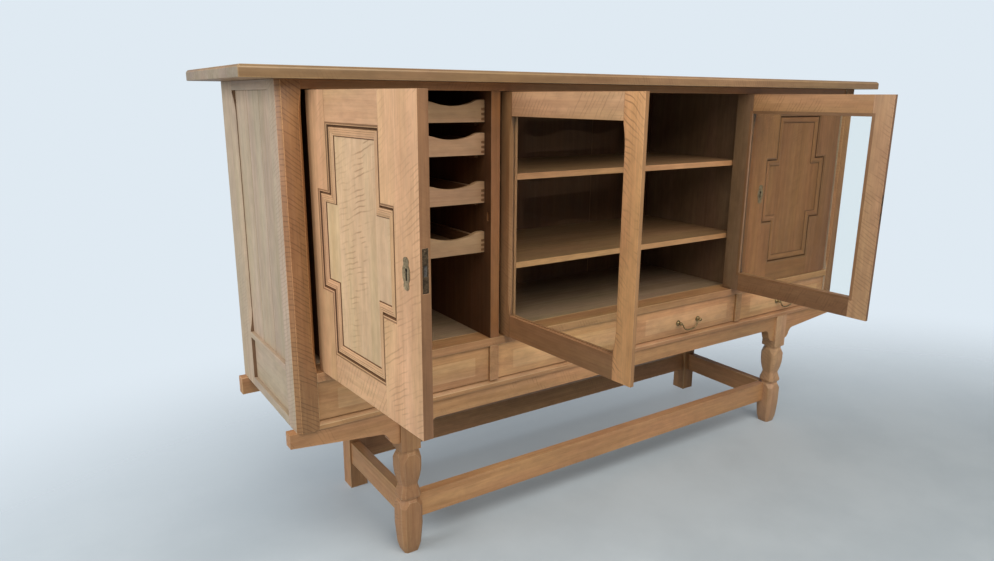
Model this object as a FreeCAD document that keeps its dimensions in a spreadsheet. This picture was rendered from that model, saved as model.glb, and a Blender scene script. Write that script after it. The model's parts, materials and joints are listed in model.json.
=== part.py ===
import FreeCAD, Part
import math
import os
import Sketcher
from FreeCAD import Vector

# A tall oak buffet on a stand. Millimetres, +Z up, -Y is the front. The origin is on the floor,
# under the middle of the carcass front. Two panel doors, two glass doors, four drawers below them,
# four trays behind the left door.

SIZES = {
    # carcass
    "carcass_width": 1900, "carcass_depth": 418, "stand_height": 382,
    "bottom_rail_height": 19, "drawer_opening_height": 90, "drawer_rail_height": 20,
    "door_opening_height": 581, "frieze_height": 18, "frieze_recess": 4,
    "bottom_rail_recess": 2, "bottom_rail_bevel": 9,
    "top_thickness": 24, "top_end_overhang": 75, "top_front_overhang": 32, "top_bevel": 5,
    "post_width": 48, "post_depth": 58, "post_chamfer": 9,
    # a stopped chamfer: its depth, how far it stays from the ends of its edge, the run of its curved ends
    "stopped_chamfer": 4.5, "chamfer_stop": 4, "chamfer_run": 50,
    "side_thickness": 24, "rear_stile_width": 92, "side_top_rail_height": 20, "side_low_panel_height": 104,
    "side_middle_rail_height": 14, "side_bottom_rail_height": 22,
    "side_panel_recess": 8, "side_panel_thickness": 10,
    "back_thickness": 8, "divider_thickness": 24,
    "middle_share": 0.479,  # of the carcass width, between the dividers' middles
    # shelves; a share of height is of the door opening
    "low_shelf_share": 0.2926, "high_shelf_share": 0.6695,
    "shelf_thickness": 15, "shelf_gap": 0.5, "shelf_setback": 36,
    "shelf_pin_radius": 3, "shelf_pin_length": 9, "shelf_pin_front_inset": 38, "shelf_pin_back_inset": 110,
    # trays in the left compartment
    "tray_room": 104, "carrier_thickness": 16, "runner_width": 8, "runner_height": 8,
    "tray_height": 50, "tray_setback": 27, "tray_gap": 1, "tray_rest_gap": 0.3, "tray_back_gap": 23,
    "tray_front_thickness": 14, "tray_wall_thickness": 10, "tray_floor_thickness": 5, "tray_floor_height": 4,
    "tray_shoulder_width": 11, "tray_curve_width": 21, "tray_curve_height": 6, "tray_curve_radius": 42,
    "tray_dip_height": 8, "tray_dip_share": 0.27,  # of the tray's width, for each of two dips
    "tray_one_share": 0.881, "tray_two_share": 0.754, "tray_three_share": 0.563, "tray_four_share": 0.36,
    # drawers
    "drawer_gap": 1.5, "drawer_rest_gap": 0.4, "drawer_back_gap": 40,
    "front_slab_thickness": 14, "front_field_thickness": 6, "field_side_width": 42, "field_edge_width": 20,
    "drawer_wall_thickness": 12, "drawer_wall_height": 76,
    "drawer_floor_thickness": 6, "drawer_floor_height": 6,
    # bail pulls
    "pull_spread": 82, "pull_drop": 17.5, "pull_axis_reach": 11,
    "pull_post_radius": 5, "pull_post_length": 16,
    "bail_radius": 2.2, "bail_clearance": 0.06, "bail_pin_length": 12, "bail_turn_radius": 6,
    "bail_fall_height": 23, "bail_low_turn_radius": 7,
    # doors; a share of width is of a panel door, one of height is of a door's height
    "door_thickness": 20, "door_recess": 3, "door_gap": 1.5, "hinge_gap": 2, "lock_gap": 2,
    "pivot_inset": 20, "pivot_back": 8, "hinge_edge_radius": 18,
    "pin_radius": 3, "pin_length": 12, "pin_clearance": 0.05, "washer_radius": 6, "washer_gap": 0.3,
    "left_stile_share": 0.225, "right_stile_share": 0.269,
    "cross_narrow_share": 0.4826, "cross_wide_share": 0.696,
    "cross_tall_share": 0.7976, "cross_arms_share": 0.353,
    "moulding_width": 27, "moulding_sunk": 1, "moulding_depth": 14,
    "groove_inset": 1, "groove_width": 5, "groove_depth": 5,
    "panel_sunk": 6, "panel_thickness": 10,
    "left_door_open": 86, "left_glass_open": 86, "right_glass_open": 94, "right_door_open": 0,  # degrees
    # glass doors
    "glass_stile_width": 52, "glass_rail_height": 54, "glass_front_depth": 9, "glass_rebate_width": 8,
    "glass_thickness": 4, "glass_edge_gap": 1, "meeting_half_lip": 4, "meeting_gap": 1.5, "lip_gap": 0.25,
    # locks
    "lock_share": 0.5095, "plate_height": 75, "plate_thickness": 2.5,
    "panel_plate_width": 12, "glass_plate_width": 7, "strike_plate_thickness": 1.2,
    "case_height": 56, "panel_case_depth": 52, "glass_case_depth": 30,
    "panel_case_width": 10, "glass_case_width": 6, "bolt_clearance": 0.3,
    "bolt_height": 18, "bolt_length": 22, "panel_bolt_width": 6, "glass_bolt_width": 3,
    "bolt_throw": 8, "strike_margin": 1,
    "key_backset": 44, "key_drop": 11, "key_hole_rise": 4,
    "key_radius": 3, "key_slot_height": 12, "key_slot_width": 3,
    "escutcheon_radius": 12, "escutcheon_half_height": 28, "escutcheon_thickness": 1.5,
    # stand
    "stand_end_overhang": 16, "stand_rail_setback": 8, "stand_rail_depth": 27, "stand_rail_height": 44,
    "rail_end_height": 32, "rail_shoulder_height": 52,
    "bracket_width": 50, "bracket_drop": 42, "bracket_lobe": 21, "bracket_flat": 6,
    "leg_inset": 264, "leg_setback": 26, "rear_leg_inset": 278, "rear_leg_width": 50,
    "leg_block_half": 25, "leg_bulb_half": 28, "leg_neck_half": 20, "leg_collar_half": 26,
    "leg_groove_half": 24, "leg_lower_half": 28, "leg_ankle_half": 24, "leg_foot_half": 19,
    "ankle_height": 20, "calf_height": 72, "foot_shoulder_height": 138,
    "leg_groove_low": 142, "leg_groove_high": 147,
    "collar_low": 149, "collar_high": 156, "neck_low": 177, "neck_high": 181,
    "bulb_low": 238, "bulb_high": 262, "leg_shoulder_height": 274, "bulb_radius": 150,
    "top_groove_half": 24, "top_groove_low": 267, "top_groove_high": 272,
    "lunette_drop": 14,  # how much lower a shoulder is at the corners, so that each face ends in an arch
    # how much wider a leg is over its corners, where they are cut off and where it is left square
    "corner_share": 1.2, "square_share": 1.5,
    "stretcher_low": 76, "stretcher_height": 62, "stretcher_thickness": 26,
}
BACK_BOARDS = 5
SIDE_BOARDS = 3
NEAR = 0.01  # two lengths that differ by less are the same

doc = FreeCAD.newDocument("buffet_cabinet")
sheet = doc.addObject("Spreadsheet::Sheet", "Sizes")
for row, (alias, number) in enumerate(SIZES.items(), start=1):
    sheet.set(f"A{row}", alias)
    sheet.set(f"B{row}", str(number))
    sheet.setAlias(f"B{row}", alias)
doc.recompute()


class Size:
    """A length that knows its value now and the expression that ties it to the sheet."""

    def __init__(self, value, text):
        self.value = value
        self.text = text

    def _join(self, sign, other, value):
        return Size(value, f"({self.text} {sign} {other.text})")

    def __add__(self, other):
        other = size(other)
        return self._join("+", other, self.value + other.value)

    def __sub__(self, other):
        other = size(other)
        return self._join("-", other, self.value - other.value)

    def __mul__(self, other):
        other = size(other)
        return self._join("*", other, self.value * other.value)

    def __truediv__(self, other):
        other = size(other)
        return self._join("/", other, self.value / other.value)

    def __neg__(self):
        return self * -1

    def __rmul__(self, other):
        return self * other

    def __radd__(self, other):
        return self + other


def size(thing):
    return thing if isinstance(thing, Size) else Size(float(thing), str(thing))


class Sheet:
    """The sheet's cells as sizes: S.post_width and so on."""

    def __getattr__(self, alias):
        return Size(float(SIZES[alias]), f"Sizes.{alias}")


S = Sheet()
NODES = []


def bind(thing, prop, amount):
    thing.setExpression(prop, size(amount).text)


def slab(name, x, y, z):
    """A board between two places on each axis."""
    board = doc.addObject("Part::Box", name)
    for prop, axis, (low, high) in (("Length", "x", x), ("Width", "y", y), ("Height", "z", z)):
        bind(board, prop, size(high) - low)
        bind(board, f"Placement.Base.{axis}", low)
    return board


def rod(name, x, y, z, radius, length, along="z"):
    """A cylinder that starts at x, y, z and runs along one axis."""
    turns = {"z": (Vector(0, 0, 1), 0), "x": (Vector(0, 1, 0), 90), "y": (Vector(1, 0, 0), -90)}
    axis, angle = turns[along]
    bar = doc.addObject("Part::Cylinder", name)
    bar.Placement = FreeCAD.Placement(Vector(), FreeCAD.Rotation(axis, angle))
    bind(bar, "Radius", radius)
    bind(bar, "Height", length)
    for letter, place in zip("xyz", (x, y, z)):
        bind(bar, f"Placement.Base.{letter}", place)
    return bar


def cut(name, base, *tools):
    for number, tool in enumerate(tools):
        result = doc.addObject("Part::Cut", f"{name}_{number}")
        result.Base = base
        result.Tool = tool
        base = result
    return base


def fuse(name, *pieces):
    joined = doc.addObject("Part::MultiFuse", name)
    joined.Shapes = list(pieces)
    return joined


def mirrored(name, source):
    """The same piece on the other side of the cabinet."""
    copy = doc.addObject("Part::Mirroring", name)
    copy.Source = source
    copy.Normal = Vector(1, 0, 0)
    return copy


def node(label, *pieces, at=None, angle=None):
    """One sub-part: its pieces are separate solids, made about the origin if a place is given."""
    group = doc.addObject("Part::Compound", label)
    group.Label = label
    group.Links = list(pieces)
    for axis, place in zip("xyz", at or ()):
        bind(group, f"Placement.Base.{axis}", place)
    if angle:
        bind(group, "Placement.Rotation.Angle", angle)
    NODES.append(group)
    return group


def pin_corner(sketch, geometry, end, x, y):
    """Fix one corner of a sketch at its two sizes."""
    for kind, place, axis in (("DistanceX", size(x), -2), ("DistanceY", size(y), -1)):
        if abs(place.value) < NEAR:
            sketch.addConstraint(Sketcher.Constraint("PointOnObject", geometry, end, axis))
            continue
        index = sketch.addConstraint(Sketcher.Constraint(kind, -1, 1, geometry, end, place.value))
        bind(sketch, f"Constraints[{index}]", place)


def arc_middle(start, end, radius):
    """The middle of an arc from start to end; a positive radius turns left, a negative one right."""
    chord = end - start
    half = chord.Length / 2
    sagitta = abs(radius) - (radius * radius - half * half) ** 0.5
    left = Vector(-chord.y, chord.x, 0).normalize()
    return (start + end) / 2 - left * sagitta * (1 if radius > 0 else -1)


def outline(sketch, corners, closed=True):
    """An outline or path. A corner is (x, y) or (x, y, radius); a radius makes the next side an arc."""
    points = [Vector(size(c[0]).value, size(c[1]).value, 0) for c in corners]
    sides = []
    for number in range(len(corners) if closed else len(corners) - 1):
        start, end = points[number], points[(number + 1) % len(points)]
        ends = (1, 2)
        if len(corners[number]) == 3:
            radius = size(corners[number][2])
            turns_left = radius.value > 0
            arc = Part.Arc(start, arc_middle(start, end, radius.value), end)
            geometry = sketch.addGeometry(arc, False)
            ends = (1, 2) if turns_left else (2, 1)
            wanted = radius if turns_left else -radius
            index = sketch.addConstraint(Sketcher.Constraint("Radius", geometry, wanted.value))
            bind(sketch, f"Constraints[{index}]", wanted)
        else:
            geometry = sketch.addGeometry(Part.LineSegment(start, end), False)
        sides.append((geometry, ends))
    for number, (geometry, ends) in enumerate(sides):
        pin_corner(sketch, geometry, ends[0], corners[number][0], corners[number][1])
        if closed or number + 1 < len(sides):
            other, other_ends = sides[(number + 1) % len(sides)]
            sketch.addConstraint(Sketcher.Constraint("Coincident", geometry, ends[1], other, other_ends[0]))
        else:
            pin_corner(sketch, geometry, ends[1], corners[-1][0], corners[-1][1])
    return len(sides)


def pad(name, plane, corners, start, end):
    """A body padded from an outline on XY, XZ or YZ, between two places along the third axis."""
    body = doc.addObject("PartDesign::Body", name)
    sketch = body.newObject("Sketcher::SketchObject", f"{name}_outline")
    origin = [f for f in body.Origin.OriginFeatures if f.Role == f"{plane}_Plane"][0]
    sketch.AttachmentSupport = [(origin, "")]
    sketch.MapMode = "FlatFace"
    outline(sketch, corners)
    # the XZ plane faces -Y, so what starts there is offset and padded the other way
    facing_front = plane == "XZ"
    bind(sketch, "AttachmentOffset.Base.z", -size(start) if facing_front else start)
    solid = body.newObject("PartDesign::Pad", f"{name}_pad")
    solid.Profile = sketch
    solid.Reversed = facing_front
    bind(solid, "Length", size(end) - start)
    return body


# Levels and edges that many pieces share
half = S.carcass_width / 2
drawer_low = S.stand_height + S.bottom_rail_height
drawer_high = drawer_low + S.drawer_opening_height
door_low = drawer_high + S.drawer_rail_height
door_high = door_low + S.door_opening_height
under_top = door_high + S.frieze_height
post_edge = half - S.post_width
board_edge = half - S.side_thickness
board_back = S.carcass_depth - S.back_thickness
side_middle = S.stand_height + S.side_bottom_rail_height + S.side_low_panel_height
side_boards = (side_middle + S.side_middle_rail_height, under_top - S.side_top_rail_height)
divider_middle = S.carcass_width * S.middle_share / 2
divider_out = divider_middle + S.divider_thickness / 2
divider_in = divider_middle - S.divider_thickness / 2
pivot_y = S.door_recess + S.pivot_back
pivot_side = post_edge - S.hinge_gap - S.pivot_inset
pivot_middle = divider_in - S.hinge_gap - S.pivot_inset
hole_radius = S.pin_radius + S.pin_clearance
PIVOTS = {"left_door": -pivot_side, "left_glass": -pivot_middle,
          "right_glass": pivot_middle, "right_door": pivot_side}


def make_top():
    end = half + S.top_end_overhang
    front, back = -S.top_front_overhang, S.carcass_depth
    body = pad("top_blank", "XY", [(-end, front), (end, front), (end, back), (-end, back)],
               under_top, under_top + S.top_thickness)
    doc.recompute()
    blank = body.Tip
    top = blank.Shape.BoundBox.ZMax
    edges = []
    for number, edge in enumerate(blank.Shape.Edges, start=1):
        box = edge.BoundBox
        if box.ZMin > top - NEAR and box.YMin < back.value - NEAR:
            edges.append(f"Edge{number}")
    bevel = body.newObject("PartDesign::Chamfer", "top_edge_bevel")
    bevel.Base = (blank, edges)
    bind(bevel, "Size", S.top_bevel)
    body.Tip = bevel
    node("top_board", body)


def arc_radius(width, height):
    """The radius of an arc that spans a width and rises by a height."""
    return (width * width / 4 + height * height) / (2 * height)


def chamfer_tool(name, x, y, toward_x, toward_y, low, high):
    """A cutter that takes an upright edge off, stopped short of both ends, where it runs out in a curve."""
    deep, run = S.stopped_chamfer, S.chamfer_run
    low, high = low + S.chamfer_stop, high - S.chamfer_stop
    turn = arc_radius(2 * run, deep)
    corners = [(-deep, low), (0, low, turn), (deep, low + run),
               (deep, high - run, turn), (0, high), (-deep, high)]
    cutter = pad(name, "XZ", corners, -2 * deep, 2 * deep)
    into_wood = math.degrees(math.atan2(toward_y, toward_x))
    cutter.Placement = FreeCAD.Placement(Vector(), FreeCAD.Rotation(Vector(0, 0, 1), into_wood))
    bind(cutter, "Placement.Base.x", x)
    bind(cutter, "Placement.Base.y", y)
    return cutter


def make_posts():
    outer, inner, c = -half, -post_edge, S.post_chamfer
    corners = [(outer + c, 0), (inner, 0), (inner, S.post_depth), (outer, S.post_depth), (outer, c)]
    blank = pad("post_blank", "XY", corners, S.stand_height, under_top)
    door_side = chamfer_tool("post_door_chamfer", inner, 0, -1, 1, door_low, door_high)
    panel_side = chamfer_tool("post_panel_chamfer", outer, S.post_depth, 1, -1, *side_boards)
    post = cut("post", blank, door_side, panel_side)
    node("left_post", post)
    node("right_post", mirrored("post_mirrored", post))


def make_sides():
    outer, inner = -half, -board_edge
    front, back = S.post_depth, S.carcass_depth - S.rear_stile_width
    low, high = S.stand_height, under_top
    across = (outer, inner)
    stile = slab("rear_stile_blank", across, (back, S.carcass_depth), (low, high))
    stile = cut("rear_stile", stile, chamfer_tool("rear_stile_chamfer", outer, back, 1, 1, *side_boards))
    rails = [
        slab("side_top_rail", across, (front, back), (side_boards[1], high)),
        slab("side_middle_rail", across, (front, back), (side_middle, side_boards[0])),
        slab("side_bottom_rail", across, (front, back), (low, low + S.side_bottom_rail_height)),
    ]
    frame = [stile] + rails
    node("side_frames", *frame, *[mirrored(f"{piece.Name}_mirrored", piece) for piece in frame])

    face = outer + S.side_panel_recess
    across = (face, face + S.side_panel_thickness)
    board = (back - front) / SIDE_BOARDS
    panels = [slab(f"side_board_{n}", across, (front + board * n, front + board * (n + 1)), side_boards)
              for n in range(SIDE_BOARDS)]
    panels.append(slab("side_low_board", across, (front, back),
                       (low + S.side_bottom_rail_height, side_middle)))
    node("side_panels", *panels, *[mirrored(f"{piece.Name}_mirrored", piece) for piece in panels])


def make_rails():
    across = (-post_edge, post_edge)
    frieze = slab("frieze_blank", across, (S.frieze_recess, S.post_depth), (door_high, under_top))
    rail = slab("drawer_rail_blank", across, (0, S.post_depth), (drawer_high, door_low))
    reach = S.pin_length + S.door_gap
    for name, x in PIVOTS.items():
        frieze = cut(f"{name}_upper_seat", frieze,
                     rod(f"{name}_upper_hole", x, pivot_y, door_high, hole_radius, reach))
        rail = cut(f"{name}_lower_seat", rail,
                   rod(f"{name}_lower_hole", x, pivot_y, door_low - reach, hole_radius, reach))
    node("frieze_rail", frieze)
    node("drawer_rail", rail)
    front, bevel = S.bottom_rail_recess, S.bottom_rail_bevel
    corners = [(front, S.stand_height), (S.post_depth, S.stand_height), (S.post_depth, drawer_low),
               (front + bevel, drawer_low), (front, drawer_low - bevel)]
    node("bottom_rail", pad("bottom_rail_strip", "YZ", corners, -post_edge, post_edge))


def make_boards():
    across, along = (-board_edge, board_edge), (S.post_depth, board_back)
    node("sub_top", slab("sub_top_board", across, along, (door_high, under_top)))
    node("floor_board", slab("compartment_floor", across, along, (drawer_high, door_low)))
    node("bottom_board", slab("carcass_bottom", across, along, (S.stand_height, drawer_low)))
    width = 2 * board_edge / BACK_BOARDS
    boards = [slab(f"back_board_{n}", (width * n - board_edge, width * (n + 1) - board_edge),
                   (board_back, S.carcass_depth), (S.stand_height, under_top)) for n in range(BACK_BOARDS)]
    node("back_boards", *boards)


def make_dividers():
    along = (0, board_back)
    strike_z = door_low + S.door_opening_height * S.lock_share
    reach = S.bolt_height / 2 + S.strike_margin
    middle = S.door_recess + S.door_thickness / 2
    thick = S.panel_bolt_width / 2 + S.strike_margin
    depth = S.bolt_throw + S.strike_margin
    upright = slab("divider_board", (-divider_out, -divider_in), along, (door_low, door_high))
    strike = slab("divider_strike", (-divider_out, depth - divider_out),
                  (middle - thick, middle + thick), (strike_z - reach, strike_z + reach))
    divider = cut("divider", upright, strike)
    node("dividers", divider, mirrored("divider_mirrored", divider))
    low = [slab(f"drawer_divider_{n}", (x - S.divider_thickness / 2, x + S.divider_thickness / 2),
                along, (drawer_low, drawer_high))
           for n, x in enumerate((-divider_middle, size(0), divider_middle))]
    node("drawer_dividers", *low)


def make_shelves():
    gap = S.shelf_gap
    panel_face = half - S.side_panel_recess - S.side_panel_thickness
    bays = {
        "middle": (gap - divider_in, divider_in - gap, S.shelf_setback, -divider_in, divider_in),
        "right": (divider_out + gap, board_edge - gap, S.post_depth + gap, divider_out, panel_face),
    }
    boards, pins = [], []
    for bay, (left, right, front, left_wall, right_wall) in bays.items():
        for level in ("low_shelf", "high_shelf"):
            top = door_low + S.door_opening_height * getattr(S, f"{level}_share")
            under = top - S.shelf_thickness
            boards.append(slab(f"{bay}_{level}", (left, right), (front, board_back - gap), (under, top)))
            pin_z = under - S.shelf_pin_radius
            for y in (S.post_depth + S.shelf_pin_front_inset, board_back - S.shelf_pin_back_inset):
                for side, wall, tip in (("left", left_wall, left + S.shelf_pin_length),
                                        ("right", right - S.shelf_pin_length, right_wall)):
                    pins.append(rod(f"{bay}_{level}_{side}_pin", wall, y, pin_z, S.shelf_pin_radius,
                                    tip - wall, "x"))
    node("shelves", *boards)
    node("shelf_pins", *pins)


def tray_top(left, right, low):
    """The front board: flat shoulders, two shallow dips for the fingers, and a low crown between them."""
    high = low + S.tray_height
    bend = high - S.tray_curve_height
    dip = (right - left) * S.tray_dip_share
    dip_radius = arc_radius(dip, S.tray_dip_height)
    edge = S.tray_shoulder_width + S.tray_curve_width
    crown_radius = arc_radius(right - left - 2 * (edge + dip), S.tray_curve_height)
    shoulder, turn = S.tray_shoulder_width, S.tray_curve_radius
    return [(left, low), (right, low), (right, high), (right - shoulder, high, turn),
            (right - edge, bend, -dip_radius), (right - edge - dip, bend, crown_radius),
            (left + edge + dip, bend, -dip_radius), (left + edge, bend, turn),
            (left + shoulder, high), (left, high)]


def make_trays():
    carrier = S.tray_room - half
    upright = (door_low, door_high)
    node("tray_carrier", slab("tray_carrier_board", (carrier - S.carrier_thickness, carrier),
                              (S.post_depth, board_back), upright))
    left, right = carrier + S.tray_gap, -divider_out - S.tray_gap
    front = S.tray_setback
    inside, back = front + S.tray_front_thickness, board_back - S.tray_back_gap
    runners = []
    shares = (S.tray_one_share, S.tray_two_share, S.tray_three_share, S.tray_four_share)
    for number, share in enumerate(shares, start=1):
        low = door_low + S.door_opening_height * share
        runner_z = (low - S.tray_rest_gap - S.runner_height, low - S.tray_rest_gap)
        for side, x in (("left", (carrier, carrier + S.runner_width)),
                        ("right", (-divider_out - S.runner_width, -divider_out))):
            runners.append(slab(f"tray_{number}_{side}_runner", x, (S.post_depth, back), runner_z))
        wall_top = low + S.tray_height - S.tray_curve_height - S.tray_dip_height
        floor = low + S.tray_floor_height
        inner = (left + S.tray_wall_thickness, right - S.tray_wall_thickness)
        tall = (low, wall_top)
        node(f"tray_{number}",
             pad(f"tray_{number}_front", "XZ", tray_top(left, right, low), front, inside),
             slab(f"tray_{number}_left", (left, inner[0]), (inside, back), tall),
             slab(f"tray_{number}_right", (inner[1], right), (inside, back), tall),
             slab(f"tray_{number}_back", inner, (back - S.tray_wall_thickness, back), tall),
             slab(f"tray_{number}_floor", inner, (inside, back - S.tray_wall_thickness),
                  (floor, floor + S.tray_floor_thickness)))
    node("tray_runners", *runners)


def bail(name):
    """A bail about its axis: a pin for each post, a turn down, a fall, and a low bar between."""
    outer, knee = S.pull_spread / 2 + S.bail_pin_length / 2, S.pull_spread / 2 - S.bail_pin_length / 2
    turn, low_turn = S.bail_turn_radius, S.bail_low_turn_radius
    fall = knee - turn
    bar = fall - low_turn
    path = doc.addObject("Sketcher::SketchObject", f"{name}_path")
    path.Placement = FreeCAD.Placement(Vector(), FreeCAD.Rotation(Vector(1, 0, 0), 90))
    right = [(outer, 0), (knee, 0, turn), (fall, -turn), (fall, low_turn - S.bail_fall_height, -low_turn),
             (bar, -S.bail_fall_height)]
    left = [(-bar, -S.bail_fall_height, -low_turn), (-fall, low_turn - S.bail_fall_height),
            (-fall, -turn, turn), (-knee, 0), (-outer, 0)]
    sides = outline(path, right + left, closed=False)
    ring = doc.addObject("Part::Circle", f"{name}_section")
    ring.Placement = FreeCAD.Placement(Vector(), FreeCAD.Rotation(Vector(0, 1, 0), 90))
    bind(ring, "Radius", S.bail_radius)
    bind(ring, "Placement.Base.x", outer)
    sweep = doc.addObject("Part::Sweep", f"{name}_rod")
    sweep.Sections = [ring]
    sweep.Spine = (path, [f"Edge{number}" for number in range(1, sides + 1)])
    sweep.Solid = True
    return sweep


def make_drawers():
    middle_edge = S.divider_thickness / 2
    openings = ((-post_edge, -divider_out), (-divider_in, -middle_edge),
                (middle_edge, divider_in), (divider_out, post_edge))
    gap = S.drawer_gap
    for number, (opening_left, opening_right) in enumerate(openings, start=1):
        name = f"drawer_{number}"
        left, right = opening_left + gap, opening_right - gap
        low, high = drawer_low + gap, drawer_high - gap
        inside = S.front_field_thickness + S.front_slab_thickness
        back = board_back - S.drawer_back_gap
        slab_board = slab(f"{name}_slab", (left, right), (S.front_field_thickness, inside), (low, high))
        field = doc.addObject("Part::Wedge", f"{name}_field")
        side, edge = S.field_side_width, S.field_edge_width
        for prop, amount in (("Xmin", left + side), ("Xmax", right - side), ("X2min", left), ("X2max", right),
                             ("Zmin", low + edge), ("Zmax", high - edge), ("Z2min", low), ("Z2max", high),
                             ("Ymin", 0), ("Ymax", S.front_field_thickness)):
            bind(field, prop, amount)
        floor_low = drawer_low + S.drawer_rest_gap
        tall = (floor_low, floor_low + S.drawer_wall_height)
        inner = (left + S.drawer_wall_thickness, right - S.drawer_wall_thickness)
        floor = floor_low + S.drawer_floor_height
        node(name, fuse(f"{name}_front", slab_board, field),
             slab(f"{name}_left", (left, inner[0]), (inside, back), tall),
             slab(f"{name}_right", (inner[1], right), (inside, back), tall),
             slab(f"{name}_back", inner, (back - S.drawer_wall_thickness, back), tall),
             slab(f"{name}_floor", inner, (inside, back - S.drawer_wall_thickness),
                  (floor, floor + S.drawer_floor_thickness)))
        centre = (left + right) / 2
        axis_y, axis_z = -S.pull_axis_reach, (low + high) / 2 - S.pull_drop + S.bail_fall_height / 2
        posts = []
        for side, x in (("left", centre - S.pull_spread / 2), ("right", centre + S.pull_spread / 2)):
            post = rod(f"{name}_{side}_post", x, -S.pull_post_length, axis_z, S.pull_post_radius,
                       S.pull_post_length, "y")
            eye = rod(f"{name}_{side}_eye", x - S.pull_post_radius, axis_y, axis_z,
                      S.bail_radius + S.bail_clearance, 2 * S.pull_post_radius, "x")
            posts.append(cut(f"{name}_{side}_pull_post", post, eye))
        node(f"{name}_posts", *posts)
        node(f"{name}_bail", bail(f"{name}_bail"), at=(centre, axis_y, axis_z))


# Door pieces are made closed, with the pivot at the origin and the door along +X for a hinge on the
# left (hand 1) or -X for a hinge on the right (hand -1). Z is already the cabinet's.
door_front = -S.pivot_back
door_back = S.door_thickness - S.pivot_back
leaf_low = door_low + S.door_gap
leaf_high = door_high - S.door_gap
leaf_middle = (leaf_low + leaf_high) / 2
lock_z = door_low + S.door_opening_height * S.lock_share
key_z = lock_z - S.key_drop
panel_door_width = post_edge - divider_out - S.hinge_gap - S.lock_gap


def span(hand, near, far):
    """A stretch along the door, from near the hinge to far from it."""
    return (size(near), size(far)) if hand > 0 else (-size(far), -size(near))


def door_slab(name, hand, near, far, y, z):
    return slab(name, span(hand, near, far), y, z)


def hinge_stile(name, hand, width):
    """The stile at the pivots. Its front edge is rounded so that it turns clear of the post."""
    edge, r = -S.pivot_inset, S.hinge_edge_radius
    corners = [(edge + r, door_front), (edge + width, door_front), (edge + width, door_back),
               (edge, door_back), (edge, door_front + r, r)]
    if hand < 0:
        corners = [(-edge - r, door_front, r), (-edge, door_front + r), (-edge, door_back),
                   (-edge - width, door_back), (-edge - width, door_front)]
    blank = pad(f"{name}_hinge_stile", "XY", corners, leaf_low, leaf_high)
    lower = rod(f"{name}_lower_socket", 0, 0, leaf_low, S.pin_radius, S.pin_length)
    upper = rod(f"{name}_upper_socket", 0, 0, leaf_high - S.pin_length, S.pin_radius, S.pin_length)
    return cut(f"{name}_bored_stile", blank, lower, upper)


def pivots(name):
    """A pin in each end of the stile, with a washer that carries the door on the lower one."""
    long_pin = S.pin_length * 2 + S.door_gap
    lower = rod(f"{name}_lower_pin", 0, 0, door_low - S.pin_length, S.pin_radius, long_pin)
    washer = rod(f"{name}_washer", 0, 0, door_low + S.washer_gap, S.washer_radius, S.door_gap - S.washer_gap)
    upper = rod(f"{name}_upper_pin", 0, 0, leaf_high - S.pin_length, S.pin_radius, long_pin)
    return [fuse(f"{name}_lower_pivot", lower, washer), upper]


def lock_pieces(name, hand, edge, middle, kind):
    """A mortise lock at the door's edge: its plate and case, its bolt, and the room that it takes."""
    plate_width, bolt_width = getattr(S, f"{kind}_plate_width"), getattr(S, f"{kind}_bolt_width")
    case_width, case_depth = getattr(S, f"{kind}_case_width"), getattr(S, f"{kind}_case_depth")
    c = S.bolt_clearance
    tall = (lock_z - S.plate_height / 2, lock_z + S.plate_height / 2)
    case_z = (lock_z - S.case_height / 2, lock_z + S.case_height / 2)
    plate_y = (middle - plate_width / 2, middle + plate_width / 2)
    case_y = (middle - case_width / 2, middle + case_width / 2)
    behind = edge - S.plate_thickness
    plate = door_slab(f"{name}_plate_blank", hand, behind, edge, plate_y, tall)
    case = door_slab(f"{name}_case_blank", hand, edge - case_depth, behind, case_y, case_z)
    slot_y = (middle - bolt_width / 2 - c, middle + bolt_width / 2 + c)
    slot_z = (lock_z - S.bolt_height / 2 - c, lock_z + S.bolt_height / 2 + c)
    slot = door_slab(f"{name}_slot", hand, edge - S.bolt_length - 2 * c, edge, slot_y, slot_z)
    bolt = door_slab(f"{name}_bolt_bar", hand, edge - S.bolt_length - c, edge - c,
                     (slot_y[0] + c, slot_y[1] - c), (slot_z[0] + c, slot_z[1] - c))
    return cut(f"{name}_plate", plate, slot), cut(f"{name}_case", case, slot), bolt, [plate, case]


def escutcheon_plate(name, hand, edge, y):
    """An upright oval plate with a keyhole."""
    x = span(hand, edge - S.key_backset, edge - S.key_backset)[0]
    r, t = S.escutcheon_radius, S.escutcheon_thickness
    arm = S.escutcheon_half_height - r
    top = rod(f"{name}_oval_top", x, y - t, key_z + arm, r, t, "y")
    foot = rod(f"{name}_oval_foot", x, y - t, key_z - arm, r, t, "y")
    body = slab(f"{name}_oval_body", (x - r, x + r), (y - t, y), (key_z - arm, key_z + arm))
    return cut(f"{name}_escutcheon", fuse(f"{name}_oval", top, foot, body), *keyhole(name, x, y - t, t))


def keyhole(name, x, y, depth):
    high = key_z + S.key_hole_rise
    slot = slab(f"{name}_key_slot", (x - S.key_slot_width / 2, x + S.key_slot_width / 2), (y, y + depth),
                (high - S.key_slot_height, high))
    return rod(f"{name}_key_hole", x, y, high, S.key_radius, depth, "y"), slot


cross_narrow = panel_door_width * S.cross_narrow_share
cross_wide = panel_door_width * S.cross_wide_share
cross_tall = (leaf_high - leaf_low) * S.cross_tall_share
cross_arms = (leaf_high - leaf_low) * S.cross_arms_share


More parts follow.
